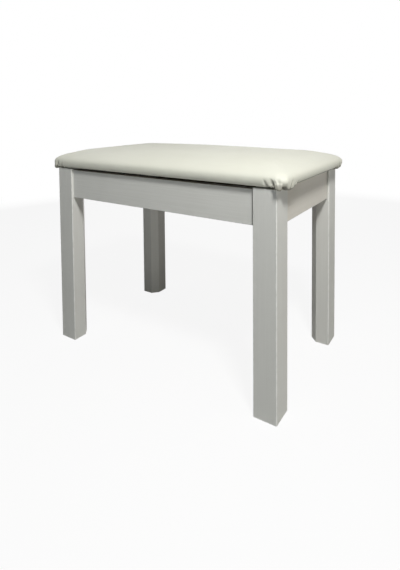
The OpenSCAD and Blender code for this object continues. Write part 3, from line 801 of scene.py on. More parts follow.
@dataclass(frozen=True)
class Perimeter:
    """Where the corners of a mesh stand round a rounded rectangle, dense near the four corners.

    Every third place is also used by the coarser rings, and each corner's middle is such a place.
    """

    side_width: float
    side_depth: float
    corner_steps: int = 42
    near: float = 0.0009
    far: float = 0.0040
    reach: float = 0.055
    dense_to: float = 0.6
    sparse_from: float = 1.6
    samples: int = 4001

    def side_shares(self, length: float) -> Array:
        """Returns where the places of one straight side stand, as shares of its length.

        Args:
            length: Length of the side between its two corner arcs.

        Returns:
            Shares from 0 up to, but without, 1.
        """
        fine = np.linspace(0.0, length, self.samples)
        to_end = np.minimum(fine, length - fine)
        sparse = smoothstep(self.reach * self.dense_to, self.reach * self.sparse_from, to_end)
        pitch = self.near + (self.far - self.near) * sparse
        count = np.concatenate([[0.0], np.cumsum(np.diff(fine) / ((pitch[1:] + pitch[:-1]) / 2))])
        steps = 3 * int(round(count[-1] / 3))
        return np.interp(np.linspace(0.0, count[-1], steps + 1), count, fine)[:-1] / length

    def places(self) -> Places:
        """Lists the places counter-clockwise seen from above, from the middle of the front left corner.

        Returns:
            For each place the signs of the two corners that it stands between, its share of the way
            from one to the other and the direction that it faces.
        """
        corners = [(-1, -1), (1, -1), (1, 1), (-1, 1)]
        steps = self.corner_steps
        rows = []
        for number in range(4):
            here = corners[number]
            there = corners[(number + 1) % 4]
            facing = math.radians(-90.0 + 90.0 * number)
            for step in range(steps // 2):
                rows.append((*here, *here, 0.0, facing - math.pi / 4 + math.pi / 2 * step / steps))
            length = self.side_width if number % 2 == 0 else self.side_depth
            for share in self.side_shares(length):
                rows.append((*here, *there, share, facing))
            for step in range(steps // 2):
                rows.append((*there, *there, 0.0, facing + math.pi / 2 * step / steps))
        table = np.array(rows)
        return {"from": table[:, 0:2], "to": table[:, 2:4], "share": table[:, 4], "facing": table[:, 5]}

    def grid_steps(self) -> tuple[int, int]:
        """Returns how many coarse steps the grid over the top has along the width and the depth.

        Returns:
            The two numbers of steps.
        """
        steps = self.corner_steps
        wide = (len(self.side_shares(self.side_width)) + steps) // 3
        deep = (len(self.side_shares(self.side_depth)) + steps) // 3
        return wide, deep


@dataclass(frozen=True)
class PadForm:
    """The relaxed form of the pad, given as rings from the underside up to the crown."""

    half_width: float
    half_depth: float
    corner: float
    base: float
    under_in: float
    rise: float
    shoulder_in: float
    shoulder_up: float
    crown: float
    tightness: float = 1.4
    fullness: float = 0.8

    def dome(self, x: Array, y: Array) -> Array:
        """Returns how far the crown stands above its edge."""
        return self.crown * (1.0 - (x / self.half_width) ** 2) * (1.0 - (y / self.half_depth) ** 2)

    def outline(self, places: Places, inset: float, radius: float) -> Array:
        """Returns the places on the form's outline, drawn in by inset, as rows of x and y.

        Args:
            places: Places round the perimeter.
            inset: How far the outline is drawn in from the widest line.
            radius: Radius of its corners.

        Returns:
            Rows of x and y.
        """
        reach = np.array([self.half_width - inset - radius, self.half_depth - inset - radius])
        share = places["share"][:, None]
        centre = (places["from"] * (1.0 - share) + places["to"] * share) * reach
        facing = np.stack([np.cos(places["facing"]), np.sin(places["facing"])], 1)
        return centre + radius * facing

    def under(self, places: Places, share: float) -> Array:
        """Returns a ring of the underside roll, from the board at 0 to the widest line at 1.

        Args:
            places: Places round the perimeter.
            share: How far up the roll the ring lies.

        Returns:
            Rows of x, y and z.
        """
        turn = math.pi / 2 * share
        flat = self.outline(places, self.under_in * (1.0 - math.sin(turn)), self.corner)
        height = self.base + self.rise * (1.0 - math.cos(turn)) ** self.tightness
        return at_height(flat, height)

    def over(self, places: Places, share: float) -> Array:
        """Returns a ring of the shoulder, from the widest line at 0 to the crown at 1.

        Args:
            places: Places round the perimeter.
            share: How far up the shoulder the ring lies.

        Returns:
            Rows of x, y and z.
        """
        turn = math.pi / 2 * share
        inset = self.shoulder_in * (1.0 - math.cos(turn))
        flat = self.outline(places, inset, self.corner * (1.0 - share / 2))
        height = self.base + self.rise + self.shoulder_up * math.sin(turn) ** self.fullness
        lift = self.dome(flat[:, 0], flat[:, 1]) * share**2
        return np.column_stack([flat, height + lift])

    def rings(self, places: Places, roll: int, shoulder: int) -> list[Array]:
        """Lists evenly spaced rings of the underside roll and of the shoulder above it.

        Args:
            places: Places round the perimeter.
            roll: Number of rings of the roll.
            shoulder: Number of rings of the shoulder.

        Returns:
            The rings in order, from the board to the crown.
        """
        under = [self.under(places, share) for share in np.linspace(0.0, 1.0, roll)]
        return under + [self.over(places, share) for share in np.linspace(0.0, 1.0, shoulder + 1)[1:]]

    def top(self, x: Array, y: Array) -> Array:
        """Returns the height of the crown."""
        return self.base + self.rise + self.shoulder_up + self.dome(x, y)


def four_sides(ring: Array, wide: int, deep: int) -> tuple[Array, Array, Array, Array]:
    """Splits a ring into the sides of a grid.

    Args:
        ring: Rows of the ring, counter-clockwise from the front left corner.
        wide: Steps along the front.
        deep: Steps along the side.

    Returns:
        The front and the right, and the back and the left from their other end, all with both ends.
    """
    closed = np.concatenate([ring, ring[:1]])
    back = closed[wide + deep : 2 * wide + deep + 1][::-1]
    left = closed[2 * wide + deep :][::-1]
    return closed[: wide + 1], closed[wide : wide + deep + 1], back, left


class MeshDraft:
    """Collects the rings, strips and grids of one closed mesh."""

    def __init__(self) -> None:
        """Starts an empty draft."""
        self.points: list[Array] = []
        self.faces: list[tuple[int, ...]] = []
        self.count = 0

    def ring(self, points: Array) -> Array:
        """Adds the corners of one ring and returns their numbers.

        Args:
            points: Rows of x, y and z.

        Returns:
            The number of each corner.
        """
        self.points.append(points)
        numbers = np.arange(self.count, self.count + len(points))
        self.count += len(points)
        return numbers

    def strip(self, lower: Array, upper: Array) -> None:
        """Joins two closed rings, whose counts are equal or differ by a factor of three.

        Args:
            lower: Numbers of the first ring, counter-clockwise seen from above.
            upper: Numbers of the next ring on an outward face.
        """
        if len(lower) == len(upper):
            after_low = np.roll(lower, -1)
            after_up = np.roll(upper, -1)
            self.faces += list(zip(lower.tolist(), after_low.tolist(), after_up.tolist(), upper.tolist()))
            return
        fine, coarse, flip = (lower, upper, False) if len(lower) > len(upper) else (upper, lower, True)
        size = len(fine)
        for number in range(len(coarse)):
            first, last = int(coarse[number]), int(coarse[(number + 1) % len(coarse)])
            row = [int(fine[(3 * number + step) % size]) for step in range(4)]
            for face in ((first, row[0], row[1]), (first, row[1], row[2], last), (last, row[2], row[3])):
                self.faces.append(tuple(reversed(face)) if flip else face)

    def stack(self, rings: list[Array], inward: bool = False) -> None:
        """Joins each ring of a stack to the next one.

        Args:
            rings: Numbers of each ring, from the lowest to the highest.
            inward: True where the faces look into the stack.
        """
        for lower, upper in zip(rings, rings[1:]):
            self.strip(*((upper, lower) if inward else (lower, upper)))

    def grid(self, border: Array, wide: int, deep: int, height: object, upward: bool) -> None:
        """Fills a ring with a grid.

        Args:
            border: Numbers of the ring, from the middle of the front left corner.
            wide: Steps along the front.
            deep: Steps along the side.
            height: Function of x and y that gives z.
            upward: True where the grid faces up.
        """
        edge = np.vstack(self.points)[border]
        front, right, back, left = four_sides(edge, wide, deep)
        across = (front[:, 0] - front[0, 0]) / (front[-1, 0] - front[0, 0])
        along = (left[:, 1] - left[0, 1]) / (left[-1, 1] - left[0, 1])
        s, t = across[:, None, None], along[None, :, None]
        sheet = (1 - t) * front[:, None] + t * back[:, None] + (1 - s) * left[None] + s * right[None]
        sheet = sheet - (1 - s) * (1 - t) * edge[0] - s * (1 - t) * front[-1]
        sheet = sheet - (1 - s) * t * back[0] - s * t * back[-1]
        numbers = np.zeros((wide + 1, deep + 1), int)
        numbers[:, 0], numbers[-1, :], numbers[:, -1], numbers[0, :] = four_sides(border, wide, deep)
        inner = sheet[1:-1, 1:-1].reshape(-1, 3)
        inner[:, 2] = height(inner[:, 0], inner[:, 1])
        numbers[1:-1, 1:-1] = self.ring(inner).reshape(wide - 1, deep - 1)
        for i in range(wide):
            for j in range(deep):
                face = (numbers[i, j], numbers[i + 1, j], numbers[i + 1, j + 1], numbers[i, j + 1])
                self.faces.append(tuple(int(n) for n in (face if upward else face[::-1])))

    def build(self, name: str) -> bpy.types.Object:
        """Makes the object."""
        return link_mesh(name, np.vstack(self.points), self.faces)


@dataclass(frozen=True)
class Fold:
    """One fold of the cover near a corner, from a place on the roll down to the underside.

    Places are given as the distance from the corner's middle round the pad, towards the front or
    back where negative, and the distance from the widest line along the profile, down where
    negative.
    """

    top: tuple[float, float]
    foot: tuple[float, float]
    depth: float
    width: float
    skew: float = 0.0

    FADE_IN = (-0.15, 0.55)
    FADE_OUT = (1.05, 1.5)
    WIDTH_AT_TOP = 0.55

    def shape(self, round_way: Array, profile_way: Array) -> Array:
        """Returns how far the fold moves each place outwards, negative in a valley.

        Args:
            round_way: Distances round the pad.
            profile_way: Distances along the profile.

        Returns:
            The movement of each place.
        """
        start = np.array(self.top) * MILLIMETRE
        run = np.array(self.foot) * MILLIMETRE - start
        length = np.linalg.norm(run)
        run = run / length
        aside = (round_way - start[0]) * -run[1] + (profile_way - start[1]) * run[0]
        along = ((round_way - start[0]) * run[0] + (profile_way - start[1]) * run[1]) / length
        narrowing = self.WIDTH_AT_TOP + (1.0 - self.WIDTH_AT_TOP) * np.clip(along, 0.0, 1.0)
        share = aside / (self.width * MILLIMETRE * narrowing)
        share = np.where(share > 0, share * (1.0 + self.skew), share * (1.0 - self.skew))
        fade = smoothstep(*self.FADE_IN, along) * (1.0 - smoothstep(*self.FADE_OUT, along))
        return self.depth * MILLIMETRE * np.exp(-(share**2)) * fade


@dataclass(frozen=True)
class Gathers:
    """The tongue over the middle of a corner and the cloth gathered on both sides of it.

    Spans run round the pad and ranges along its profile, in metres from the places that a fold is
    measured from. A range gives where something starts and where it is full.
    """

    tongue_span: Span = Span(0.002, 0.006, 0.012)
    tongue_range: Range = (0.012, 0.000)
    tongue_end: Range = (-0.003, -0.019)
    tongue_out: float = 0.0024
    hang_span: Span = Span(0.001, 0.006, 0.013)
    hang_range: Range = (0.0, -0.010)
    under_range: Range = (-0.024, -0.030)
    side_span: Span = Span(0.029, 0.011, 0.024)
    side_drop: float = 0.0056
    side_held: float = 0.4
    tuck_span: Span = Span(0.002, 0.010, 0.016)
    tuck_range: Range = (-0.0105, -0.0135)
    tuck_shade: float = 0.9
    tuck_side_span: Span = Span(0.032, 0.009, 0.016)
    tuck_side_range: Range = (-0.003, -0.009)
    tuck_side_shade: float = 0.55
    bundle_span: Span = Span(-0.010, 0.007, 0.017)
    bundle_side: Range = (-0.006, -0.001)
    bundle_range: Range = (-0.002, -0.011)
    bundle_end: Range = (-0.0135, -0.0185)

    def tongue(self, round_way: Array, profile_way: Array) -> Array:
        """Returns how far the smooth tongue over a corner's middle stands out.

        Args:
            round_way: Distances round the pad.
            profile_way: Distances along the profile.

        Returns:
            The movement of each place.
        """
        foot = 1.0 - smoothstep(*self.tongue_end, profile_way)
        out = self.tongue_out * self.tongue_span.share(round_way)
        return out * smoothstep(*self.tongue_range, profile_way) * foot

    def hanging(self, tongue: float, side: float, round_way: Array, profile_way: Array) -> Array:
        """Works out how far the tongue and the gathered cloth on the side of the pad hang down.

        Args:
            tongue: How far the tongue hangs.
            side: Share of the full drop of the cloth beside it.
            round_way: Distances round the pad.
            profile_way: Distances along the profile.

        Returns:
            The drop of each place.
        """
        reach = self.hang_span.share(round_way)
        deep = smoothstep(*self.hang_range, profile_way) * (1.0 - smoothstep(*self.under_range, profile_way))
        beside = np.where(round_way > 0.0, self.side_span.share(round_way), 0.0)
        return deep * (tongue * reach + side * self.side_drop * beside * (1.0 - self.side_held * reach))

    def tuck(self, round_way: Array, profile_way: Array) -> Array:
        """Returns the painted shade on the cover where the tongue and the side's gathers turn under.

        Args:
            round_way: Distances round the pad.
            profile_way: Distances along the profile.

        Returns:
            The darkness of each place, from 0 to 1.
        """
        tongue = self.tuck_span.share(round_way) * smoothstep(*self.tuck_range, profile_way)
        beside = self.tuck_side_span.share(round_way) * smoothstep(*self.tuck_side_range, profile_way)
        return np.maximum(self.tuck_shade * tongue, self.tuck_side_shade * beside)

    def bundle(self, round_way: Array, profile_way: Array) -> Array:
        """Returns the share of the cloth gathered before the leg, from 0 outside it to 1 in its middle.

        Args:
            round_way: Distances round the pad.
            profile_way: Distances along the profile.

        Returns:
            The share of each place.
        """
        reach = 1.0 - smoothstep(*self.bundle_side, round_way)
        low = smoothstep(*self.bundle_range, profile_way) * (1.0 - smoothstep(*self.bundle_end, profile_way))
        return reach * self.bundle_span.share(round_way) * low


@dataclass
class PaddedSeat:
    """The padded lid: a vinyl cover over foam on a board, folded at its four corners.

    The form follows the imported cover. The cover starts a little slim, a cloth simulation fills it
    out, and the folds are laid into it afterwards. Four values stand for the front left, front
    right, back left and back right corner. The rooms are hollows inside that give way to the folds.
    """

    cover_thickness: float = 0.0009
    board_play: float = 0.0002
    foam_lip: float = 0.0008
    roll_rise: float = 0.0125
    shoulder_in: float = 0.105
    shoulder_up: float = 0.0280
    board_corner: float = 0.005
    turn_in: float = 0.025
    seed: int = 40
    jogs: int = 12
    swell: float = 0.003
    swell_variation: float = 0.0010
    voxel: float = 0.006
    pressure: float = 2.2
    frames: int = 16
    free_range: Range = (0.0004, 0.010)
    full_freedom: float = 0.9
    held_height: float = 0.0035
    neighbours: int = 6
    neighbour_blur: float = 0.001
    fold_room: float = 0.0065
    bundle_drop: float = 0.0050
    bundle_spread: float = 0.0080
    fold_reach: float = 0.08
    fold_top: float = 0.03
    fold_shares: Corners = (0.45, 1.0, 0.7, 0.6)
    tongue_drops: Corners = (0.0036, -0.0016, 0.0010, 0.0)
    # gather_shades, the crease reaches and the end line give the painted shade of the cover's creases,
    # gathers and ends
    gather_shades: Corners = (0.40, 0.95, 0.12, 0.12)
    gather_gain: float = 3.0
    gathers: Gathers = Gathers()
    crease_reach: float = 0.0090
    side_crease_reach: float = 0.0034
    side_creases_from: float = 0.012
    end_line: Range = (-0.0082, -0.0120)
    end_line_out: Range = (0.001, 0.004)
    end_line_shade: float = 0.95
    cover_room_span: Span = Span(0.0, 0.040, 0.060)
    cover_room_height: float = 0.022
    cover_room_foot: float = 0.004
    foam_room_span: Span = Span(0.0, 0.040, 0.065)
    foam_room_height: float = 0.024
    foam_play: float = 0.0006
    foam_free_from: Place = (0.0003, 0.0006, 0.001)
    foam_inset: float = 0.0004
    inner_corner: float = 0.004
    turned_rings: int = 8
    roll_rings: int = 22
    shoulder_rings: int = 10
    crown_rings: int = 14
    dense_share: float = 0.26
    inner_roll_rings: int = 9
    inner_shoulder_rings: int = 15
    foam_shoulder_rings: int = 19
    sharp_angle: float = 75.0

    def __post_init__(self) -> None:
        """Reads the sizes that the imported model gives."""
        low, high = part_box("seat_cover")
        board_low, board_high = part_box("seat_board")
        self.half_width = high.x
        self.half_depth = high.y
        self.bottom = low.z
        self.top = high.z
        self.board_bottom = board_low.z
        self.board_top = board_high.z
        self.board_half = (board_high.x, board_high.y)
        self.roll_out = self.half_width - self.cover_thickness - board_high.x - self.board_play
        shoulder_top = self.board_bottom + self.roll_rise + self.shoulder_up + self.cover_thickness
        self.crown = self.top - shoulder_top
        self.inmost = self.half_width - board_high.x + self.turn_in
        corner = self.board_corner + self.roll_out + self.cover_thickness
        self.perimeter = Perimeter(2 * (self.half_width - corner), 2 * (self.half_depth - corner))

    def form(self, skin: float) -> PadForm:
        """Returns the pad's form at that distance outside the foam.

        Args:
            skin: Distance outside the foam, negative where it is inside.

        Returns:
            The form.
        """
        return PadForm(
            half_width=self.half_width - self.cover_thickness + skin,
            half_depth=self.half_depth - self.cover_thickness + skin,
            corner=self.board_corner + self.roll_out + skin,
            base=self.board_bottom - skin,
            under_in=self.roll_out - self.foam_lip,
            rise=self.roll_rise + skin,
            shoulder_in=self.shoulder_in,
            shoulder_up=self.shoulder_up + skin,
            crown=self.crown,
        )

    @staticmethod
    def thinned(places: Places) -> Places:
        """Returns every third place."""
        return {key: value[::3] for key, value in places.items()}

    def outer_rings(self, places: Places) -> list[tuple[Array, float]]:
        """Lists the rings of the outside with their distance along the profile from the widest line.

        Args:
            places: Places round the perimeter.

        Returns:
            The rings in order, from the turned-in edge under the board to the crown.
        """
        form = self.form(self.cover_thickness)
        rings = []
        for share in np.linspace(1.0, 0.0, self.turned_rings, endpoint=False):
            inset = form.under_in + (self.inmost - form.under_in) * share
            flat = form.outline(places, inset, max(form.corner - inset, self.inner_corner))
            rings.append(at_height(flat, form.base))
        rings += [form.under(places, share) for share in np.linspace(0.0, 1.0, self.roll_rings)]
        dense = np.linspace(0.0, self.dense_share, self.shoulder_rings + 1)[1:]
        sparse = np.linspace(self.dense_share, 1.0, self.crown_rings + 1)[1:]
        rings += [form.over(places, share) for share in (*dense, *sparse)]
        middle = len(places["share"]) // 8
        steps = [0.0] + [float(np.linalg.norm(b[middle] - a[middle])) for a, b in zip(rings, rings[1:])]
        way = np.cumsum(steps)
        return list(zip(rings, way - way[self.turned_rings + self.roll_rings - 1]))

    def build_shell(self) -> bpy.types.Object:
        """Builds the cover as a thin closed shell, with the distances that the folds are laid by.

        Returns:
            The cover.
        """
        places = self.perimeter.places()
        coarse = self.thinned(places)
        wide, deep = self.perimeter.grid_steps()
        draft = MeshDraft()
        rows: list[Array] = []
        profile: list[Array] = []
        dense = self.turned_rings + self.roll_rings + self.shoulder_rings
        for number, (ring, way) in enumerate(self.outer_rings(places)):
            ring = ring if number < dense else ring[::3]
            rows.append(draft.ring(ring))
            profile.append(np.full(len(ring), way))
        draft.stack(rows)
        outer = self.form(self.cover_thickness)
        draft.grid(rows[-1], wide, deep, outer.top, True)
        self.outer_count = draft.count
        inner = self.form(0.0)
        inside = []
        for inset in (self.inmost, self.inmost - self.turn_in - self.board_play * 2):
            flat = outer.outline(coarse, inset, self.inner_corner)
            inside.append(at_height(flat, self.board_bottom - self.board_play))
        inside += inner.rings(coarse, self.inner_roll_rings, self.inner_shoulder_rings)
        rings = [draft.ring(ring) for ring in inside]
        draft.strip(rings[0], rows[0])
        draft.stack(rings, inward=True)
        draft.grid(rings[-1], wide, deep, inner.top, False)
        self.profile_way = np.full(draft.count, 1.0)
        flat_ways = np.concatenate(profile)
        self.profile_way[: len(flat_ways)] = flat_ways
        return draft.build("seat_cover_vinyl")

    def round_way(self, points: Array) -> tuple[Array, Array]:
        """Measures how far each place stands from its corner's middle round the pad.

        Args:
            points: Corners of the mesh.

        Returns:
            The distance, negative towards the front or the back, and the number of the quarter.
        """
        form = self.form(self.cover_thickness)
        x = np.abs(points[:, 0]) - (form.half_width - form.corner)
        y = np.abs(points[:, 1]) - (form.half_depth - form.corner)
        turn = np.arctan2(np.maximum(x, 0.0), np.maximum(y, 0.0))
        way = (turn - math.pi / 4) * form.corner
        way = way + np.minimum(x, 0.0) * (y >= x) - np.minimum(y, 0.0) * (x > y)
        quarter = (points[:, 0] > 0).astype(int) + 2 * (points[:, 1] > 0).astype(int)
        return way, quarter

    def fill_out(self, cover: bpy.types.Object) -> None:
        """Fills the slim cover out with a cloth simulation.

        Args:
            cover: The cover, whose mesh is changed.
        """
        mesh = cover.data
        points = read_points(mesh)
        normals = read_normals(mesh)
        low, high = (self.bottom + rise for rise in self.free_range)
        freedom = smoothstep(low, high, points[:, 2])
        outside = np.arange(len(points)) < self.outer_count
        out = np.where(outside[:, None], normals, -normals) * freedom[:, None]
        slim = points - out * self.swell
        grown = self.simulate(mesh, slim, outside)
        share = np.clip(np.einsum("ij,ij->i", grown, out) / np.maximum(freedom, LEAST), 0.0, None)
        mean = max(float(share[(freedom > self.full_freedom) & outside].mean()), TINY)
        uneven = self.swell * (share / mean - 1.0)
        limited = self.swell_variation * np.tanh(uneven / self.swell_variation)
        moved = slim + out * (self.swell + limited)[:, None]
        write_points(mesh, moved)
        self.shape_before = points
        self.shape_change = moved - points
        log.info("cover filled out: mean push %.2f mm", mean / MILLIMETRE)

    def carried(self, before: Array, change: Array, points: Array) -> Array:
        """Carries the movement of some places over to others near them.

        Args:
            before: The places, one row for each.
            change: How far each of them moved.
            points: The other places.

        Returns:
            How far the others move.
        """
        tree = KDTree(len(before))
        for number, point in enumerate(before):
            tree.insert(point, number)
        tree.balance()
        result = np.zeros_like(points)
        for number, point in enumerate(points):
            near = tree.find_n(point, self.neighbours)
            weights = np.array([1.0 / (distance + self.neighbour_blur) ** 2 for _, _, distance in near])
            rows = change[[index for _, index, _ in near]]
            result[number] = (rows * weights[:, None]).sum(0) / weights.sum()
        return result

    def simulate(self, mesh: bpy.types.Mesh, slim: Array, outside: Array) -> Array:
        """Inflates a coarse copy of the slim cover as cloth.

        Args:
            mesh: The cover's mesh, which is copied.
            slim: Where its corners stand when it is slim.
            outside: Which corners are on the outside.

        Returns:
            How far each corner of the cover moves, one row for each.
        """
        trial = link_object("pad_trial", mesh.copy())
        write_points(trial.data, slim)
        body = bmesh.new()
        body.from_mesh(trial.data)
        body.verts.ensure_lookup_table()
        bmesh.ops.delete(body, geom=[v for v in body.verts if not outside[v.index]], context="VERTS")
        bmesh.ops.holes_fill(body, edges=[e for e in body.edges if e.is_boundary], sides=0)
        body.to_mesh(trial.data)
        body.free()
        remesh = trial.modifiers.new("remesh", "REMESH")
        remesh.mode = "VOXEL"
        remesh.voxel_size = self.voxel
        graph = bpy.context.evaluated_depsgraph_get()
        coarse = bpy.data.meshes.new_from_object(trial.evaluated_get(graph))
        trial.modifiers.clear()
        trial.data = coarse
        before = read_points(coarse)
        held = trial.vertex_groups.new(name="held")
        pinned = np.nonzero(before[:, 2] < self.bottom + self.held_height)[0]
        held.add([int(n) for n in pinned], 1.0, "REPLACE")
        cloth = trial.modifiers.new("cloth", "CLOTH")
        settings = {
            "quality": 6,
            "mass": 0.35,
            "tension_stiffness": 22.0,
            "compression_stiffness": 22.0,
            "shear_stiffness": 9.0,
            "bending_stiffness": 1.2,
            "air_damping": 4.0,
            "use_pressure": True,
            "uniform_pressure_force": self.pressure,
            "vertex_group_mass": held.name,
        }
        for name, value in settings.items():
            setattr(cloth.settings, name, value)
        cloth.settings.effector_weights.gravity = 0.0
        cloth.collision_settings.use_collision = False
        scene = bpy.context.scene
        for number in range(1, self.frames + 1):
            scene.frame_set(number)
        graph = bpy.context.evaluated_depsgraph_get()
        settled = trial.evaluated_get(graph).to_mesh()
        after = read_points(settled)
        scene.frame_set(1)
        bpy.data.objects.remove(trial)
        return self.carried(before, after - before, slim)

    def folds(self, quarter: int) -> list[Fold]:
        """Lists the folds of one corner.

        Args:
            quarter: 0 front left, 1 front right, 2 back left, 3 back right.

        Returns:
            The folds, a little different at each corner.
        """
        dice = np.random.default_rng(self.seed + quarter)
        jog = dice.uniform(-1.0, 1.0, self.jogs)
        deep = self.fold_shares[quarter]
        return [
            Fold((-41.0 + jog[0], 2.0), (-29.0, -20.0), -3.0 * deep, 3.0, 0.2),
            Fold((-34.0 + jog[1], 0.0), (-22.0, -19.0), 0.4 * deep, 3.2),
            Fold((-24.0 + jog[2], 4.0), (-11.0, -22.0), -7.6 * deep, 3.6, 0.5),
            Fold((-16.5 + jog[2], 6.0), (-9.0, -10.0), 1.5 * deep, 2.1, -0.3),
            Fold((31.0, 0.0), (19.0, -20.0), -7.2 * deep, 3.4, -0.3),
            Fold((39.0 + jog[3], -4.0), (28.0, -20.0), 1.4 * deep, 3.0),
            Fold((48.0 + jog[4], -4.0), (36.0, -20.0), -5.6 * deep, 3.0),
            Fold((55.0 + jog[5], -5.0), (44.0, -20.0), 1.6 * deep, 2.8),
            Fold((62.0 + jog[6], -5.0), (51.0, -20.0), -3.4 * deep, 3.2),
        ]

    def lay_folds(self, cover: bpy.types.Object) -> None:
        """Lays the pleats and gathers into the cover's corners, and the tongue that hangs between them.

        Args:
            cover: The cover, whose mesh is changed and gets the attribute painted_fold_shade, the painted
                shade of its creases, gathers and tucks.
        """
        mesh = cover.data
        points = read_points(mesh)
        normals = read_normals(mesh)
        around, quarter = self.round_way(points)
        outside = np.arange(len(points)) < self.outer_count
        near = np.abs(around) < self.fold_reach
        push = np.zeros(len(points))
        drop = np.zeros(len(points))
        spread = np.zeros(len(points))
        for number, deep in enumerate(self.fold_shares):
            mine = outside & (quarter == number) & near & (self.profile_way < self.fold_top)
            ways = (around[mine], self.profile_way[mine])
            for fold in self.folds(number):
                push[mine] += fold.shape(*ways)
            gathered = self.gathers.bundle(*ways)
            hanging = self.gathers.hanging(self.tongue_drops[number], deep, *ways)
            push[mine] += deep * self.gathers.tongue(*ways)
            drop[mine] += hanging + deep * self.bundle_drop * gathered
            spread[mine] += deep * self.bundle_spread * gathered
        push *= 1.0 - smoothstep(*self.gathers.under_range, self.profile_way)
        room = np.where(~outside & near, self.fold_room * self.cover_room_span.share(around), 0.0)
        room *= smoothstep(self.board_top + self.cover_room_height, self.board_top, points[:, 2])
        room *= smoothstep(self.board_bottom, self.board_bottom + self.cover_room_foot, points[:, 2])
        level = normals[:, :2] / np.maximum(np.linalg.norm(normals[:, :2], axis=1), LEAST)[:, None]
        moved = points + normals * (push + room)[:, None]
        moved[:, :2] += level * spread[:, None]
        moved[:, 2] -= drop
        write_points(mesh, moved)
        # The painted shade of the creases, gathers and tucks, which the vinyl reads
        shade = mesh.attributes.new("painted_fold_shade", "FLOAT", "POINT")
        shade.data.foreach_set("value", self.fold_shades(points, push, outside))

    def fold_shades(self, points: Array, push: Array, outside: Array) -> Array:
        """Works out the painted shade of the cover in its creases, in its gathers and under its two ends.

        Args:
            points: Corners of the cover before the folds.
            push: How far the folds move each of them outwards.
            outside: Which corners are on the outside.

        Returns:
            The darkness of each corner, from 0 to 1.
        """
        around, quarter = self.round_way(points)
        along = self.profile_way
        # Painted shade on the cloth gathered before the legs
        gathered = np.minimum(self.gather_gain * self.gathers.bundle(around, along), 1.0)
        gathers = np.array(self.gather_shades)[quarter] * gathered
        # Painted shade along the pad's lower edge at its two ends, where the cover turns under
        start, full = (self.board_half[0] + out for out in self.end_line_out)
        ends = smoothstep(start, full, np.abs(points[:, 0]))
        line = self.end_line_shade * ends * smoothstep(*self.end_line, along)
        tucked = np.maximum.reduce([self.gathers.tuck(around, along), gathers, line])
        # Painted shade in the creases, by how deep the folds push in
        reach = self.crease_reach * np.array(self.fold_shares)[quarter]
        crease_shade = -push / np.where(around > self.side_creases_from, self.side_crease_reach, reach)
        return np.clip(np.maximum(crease_shade, np.where(outside, tucked, 0.0)), 0.0, 1.0)

    def build_foam(self) -> bpy.types.Object:
        """Builds the foam, with the hollow that the board sits in.

        Returns:
            The foam.
        """
        coarse = self.thinned(self.perimeter.places())
        wide, deep = self.perimeter.grid_steps()
        form = self.form(-self.board_play)
        draft = MeshDraft()
        lip = self.board_half[0] + self.board_play
        edge = form.outline(coarse, form.half_width - lip, self.board_corner)
        roof = self.board_top + self.board_play
        hollow = [at_height(edge, roof), at_height(edge, self.board_bottom + self.board_play)]
        outside = form.rings(coarse, self.inner_roll_rings, self.foam_shoulder_rings)
        rings = [draft.ring(ring) for ring in hollow + outside]
        draft.stack(rings)
        draft.grid(rings[0], wide, deep, lambda x, y: np.full(len(x), roof), False)
        draft.grid(rings[-1], wide, deep, form.top, True)
        foam = draft.build("seat_foam_block")
        points = read_points(foam.data)
        around, _ = self.round_way(points)
        room = (self.fold_room + self.foam_play) * self.foam_room_span.share(around)
        room *= smoothstep(self.board_top + self.foam_room_height, self.board_top, points[:, 2])
        free_x, free_y, free_z = self.foam_free_from
        free = np.abs(points[:, 0]) > lip + free_x
        free |= np.abs(points[:, 1]) > self.board_half[1] + free_y
        free |= points[:, 2] > roof + free_z
        moved = points - read_normals(foam.data) * (self.foam_inset + room * free)[:, None]
        moved += self.carried(self.shape_before, self.shape_change, points) * free[:, None]
        write_points(foam.data, moved)
        return foam

    def dress(self, finishes: Finishes) -> None:
        """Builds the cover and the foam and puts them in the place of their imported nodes.

        Args:
            finishes: The stool's materials.
        """
        cover = self.build_shell()
        self.fill_out(cover)
        self.lay_folds(cover)
        cover.data.materials.append(finishes.by_slot["cream_vinyl"])
        cover.data.set_sharp_from_angle(angle=math.radians(self.sharp_angle))
        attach(cover, Body.LID.value)
        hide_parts("seat_cover")
        report(cover)
        foam = self.build_foam()
        foam.data.materials.append(finishes.by_slot["foam"])
        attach(foam, Body.LID.value)
        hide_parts("seat_foam")
        report(foam)


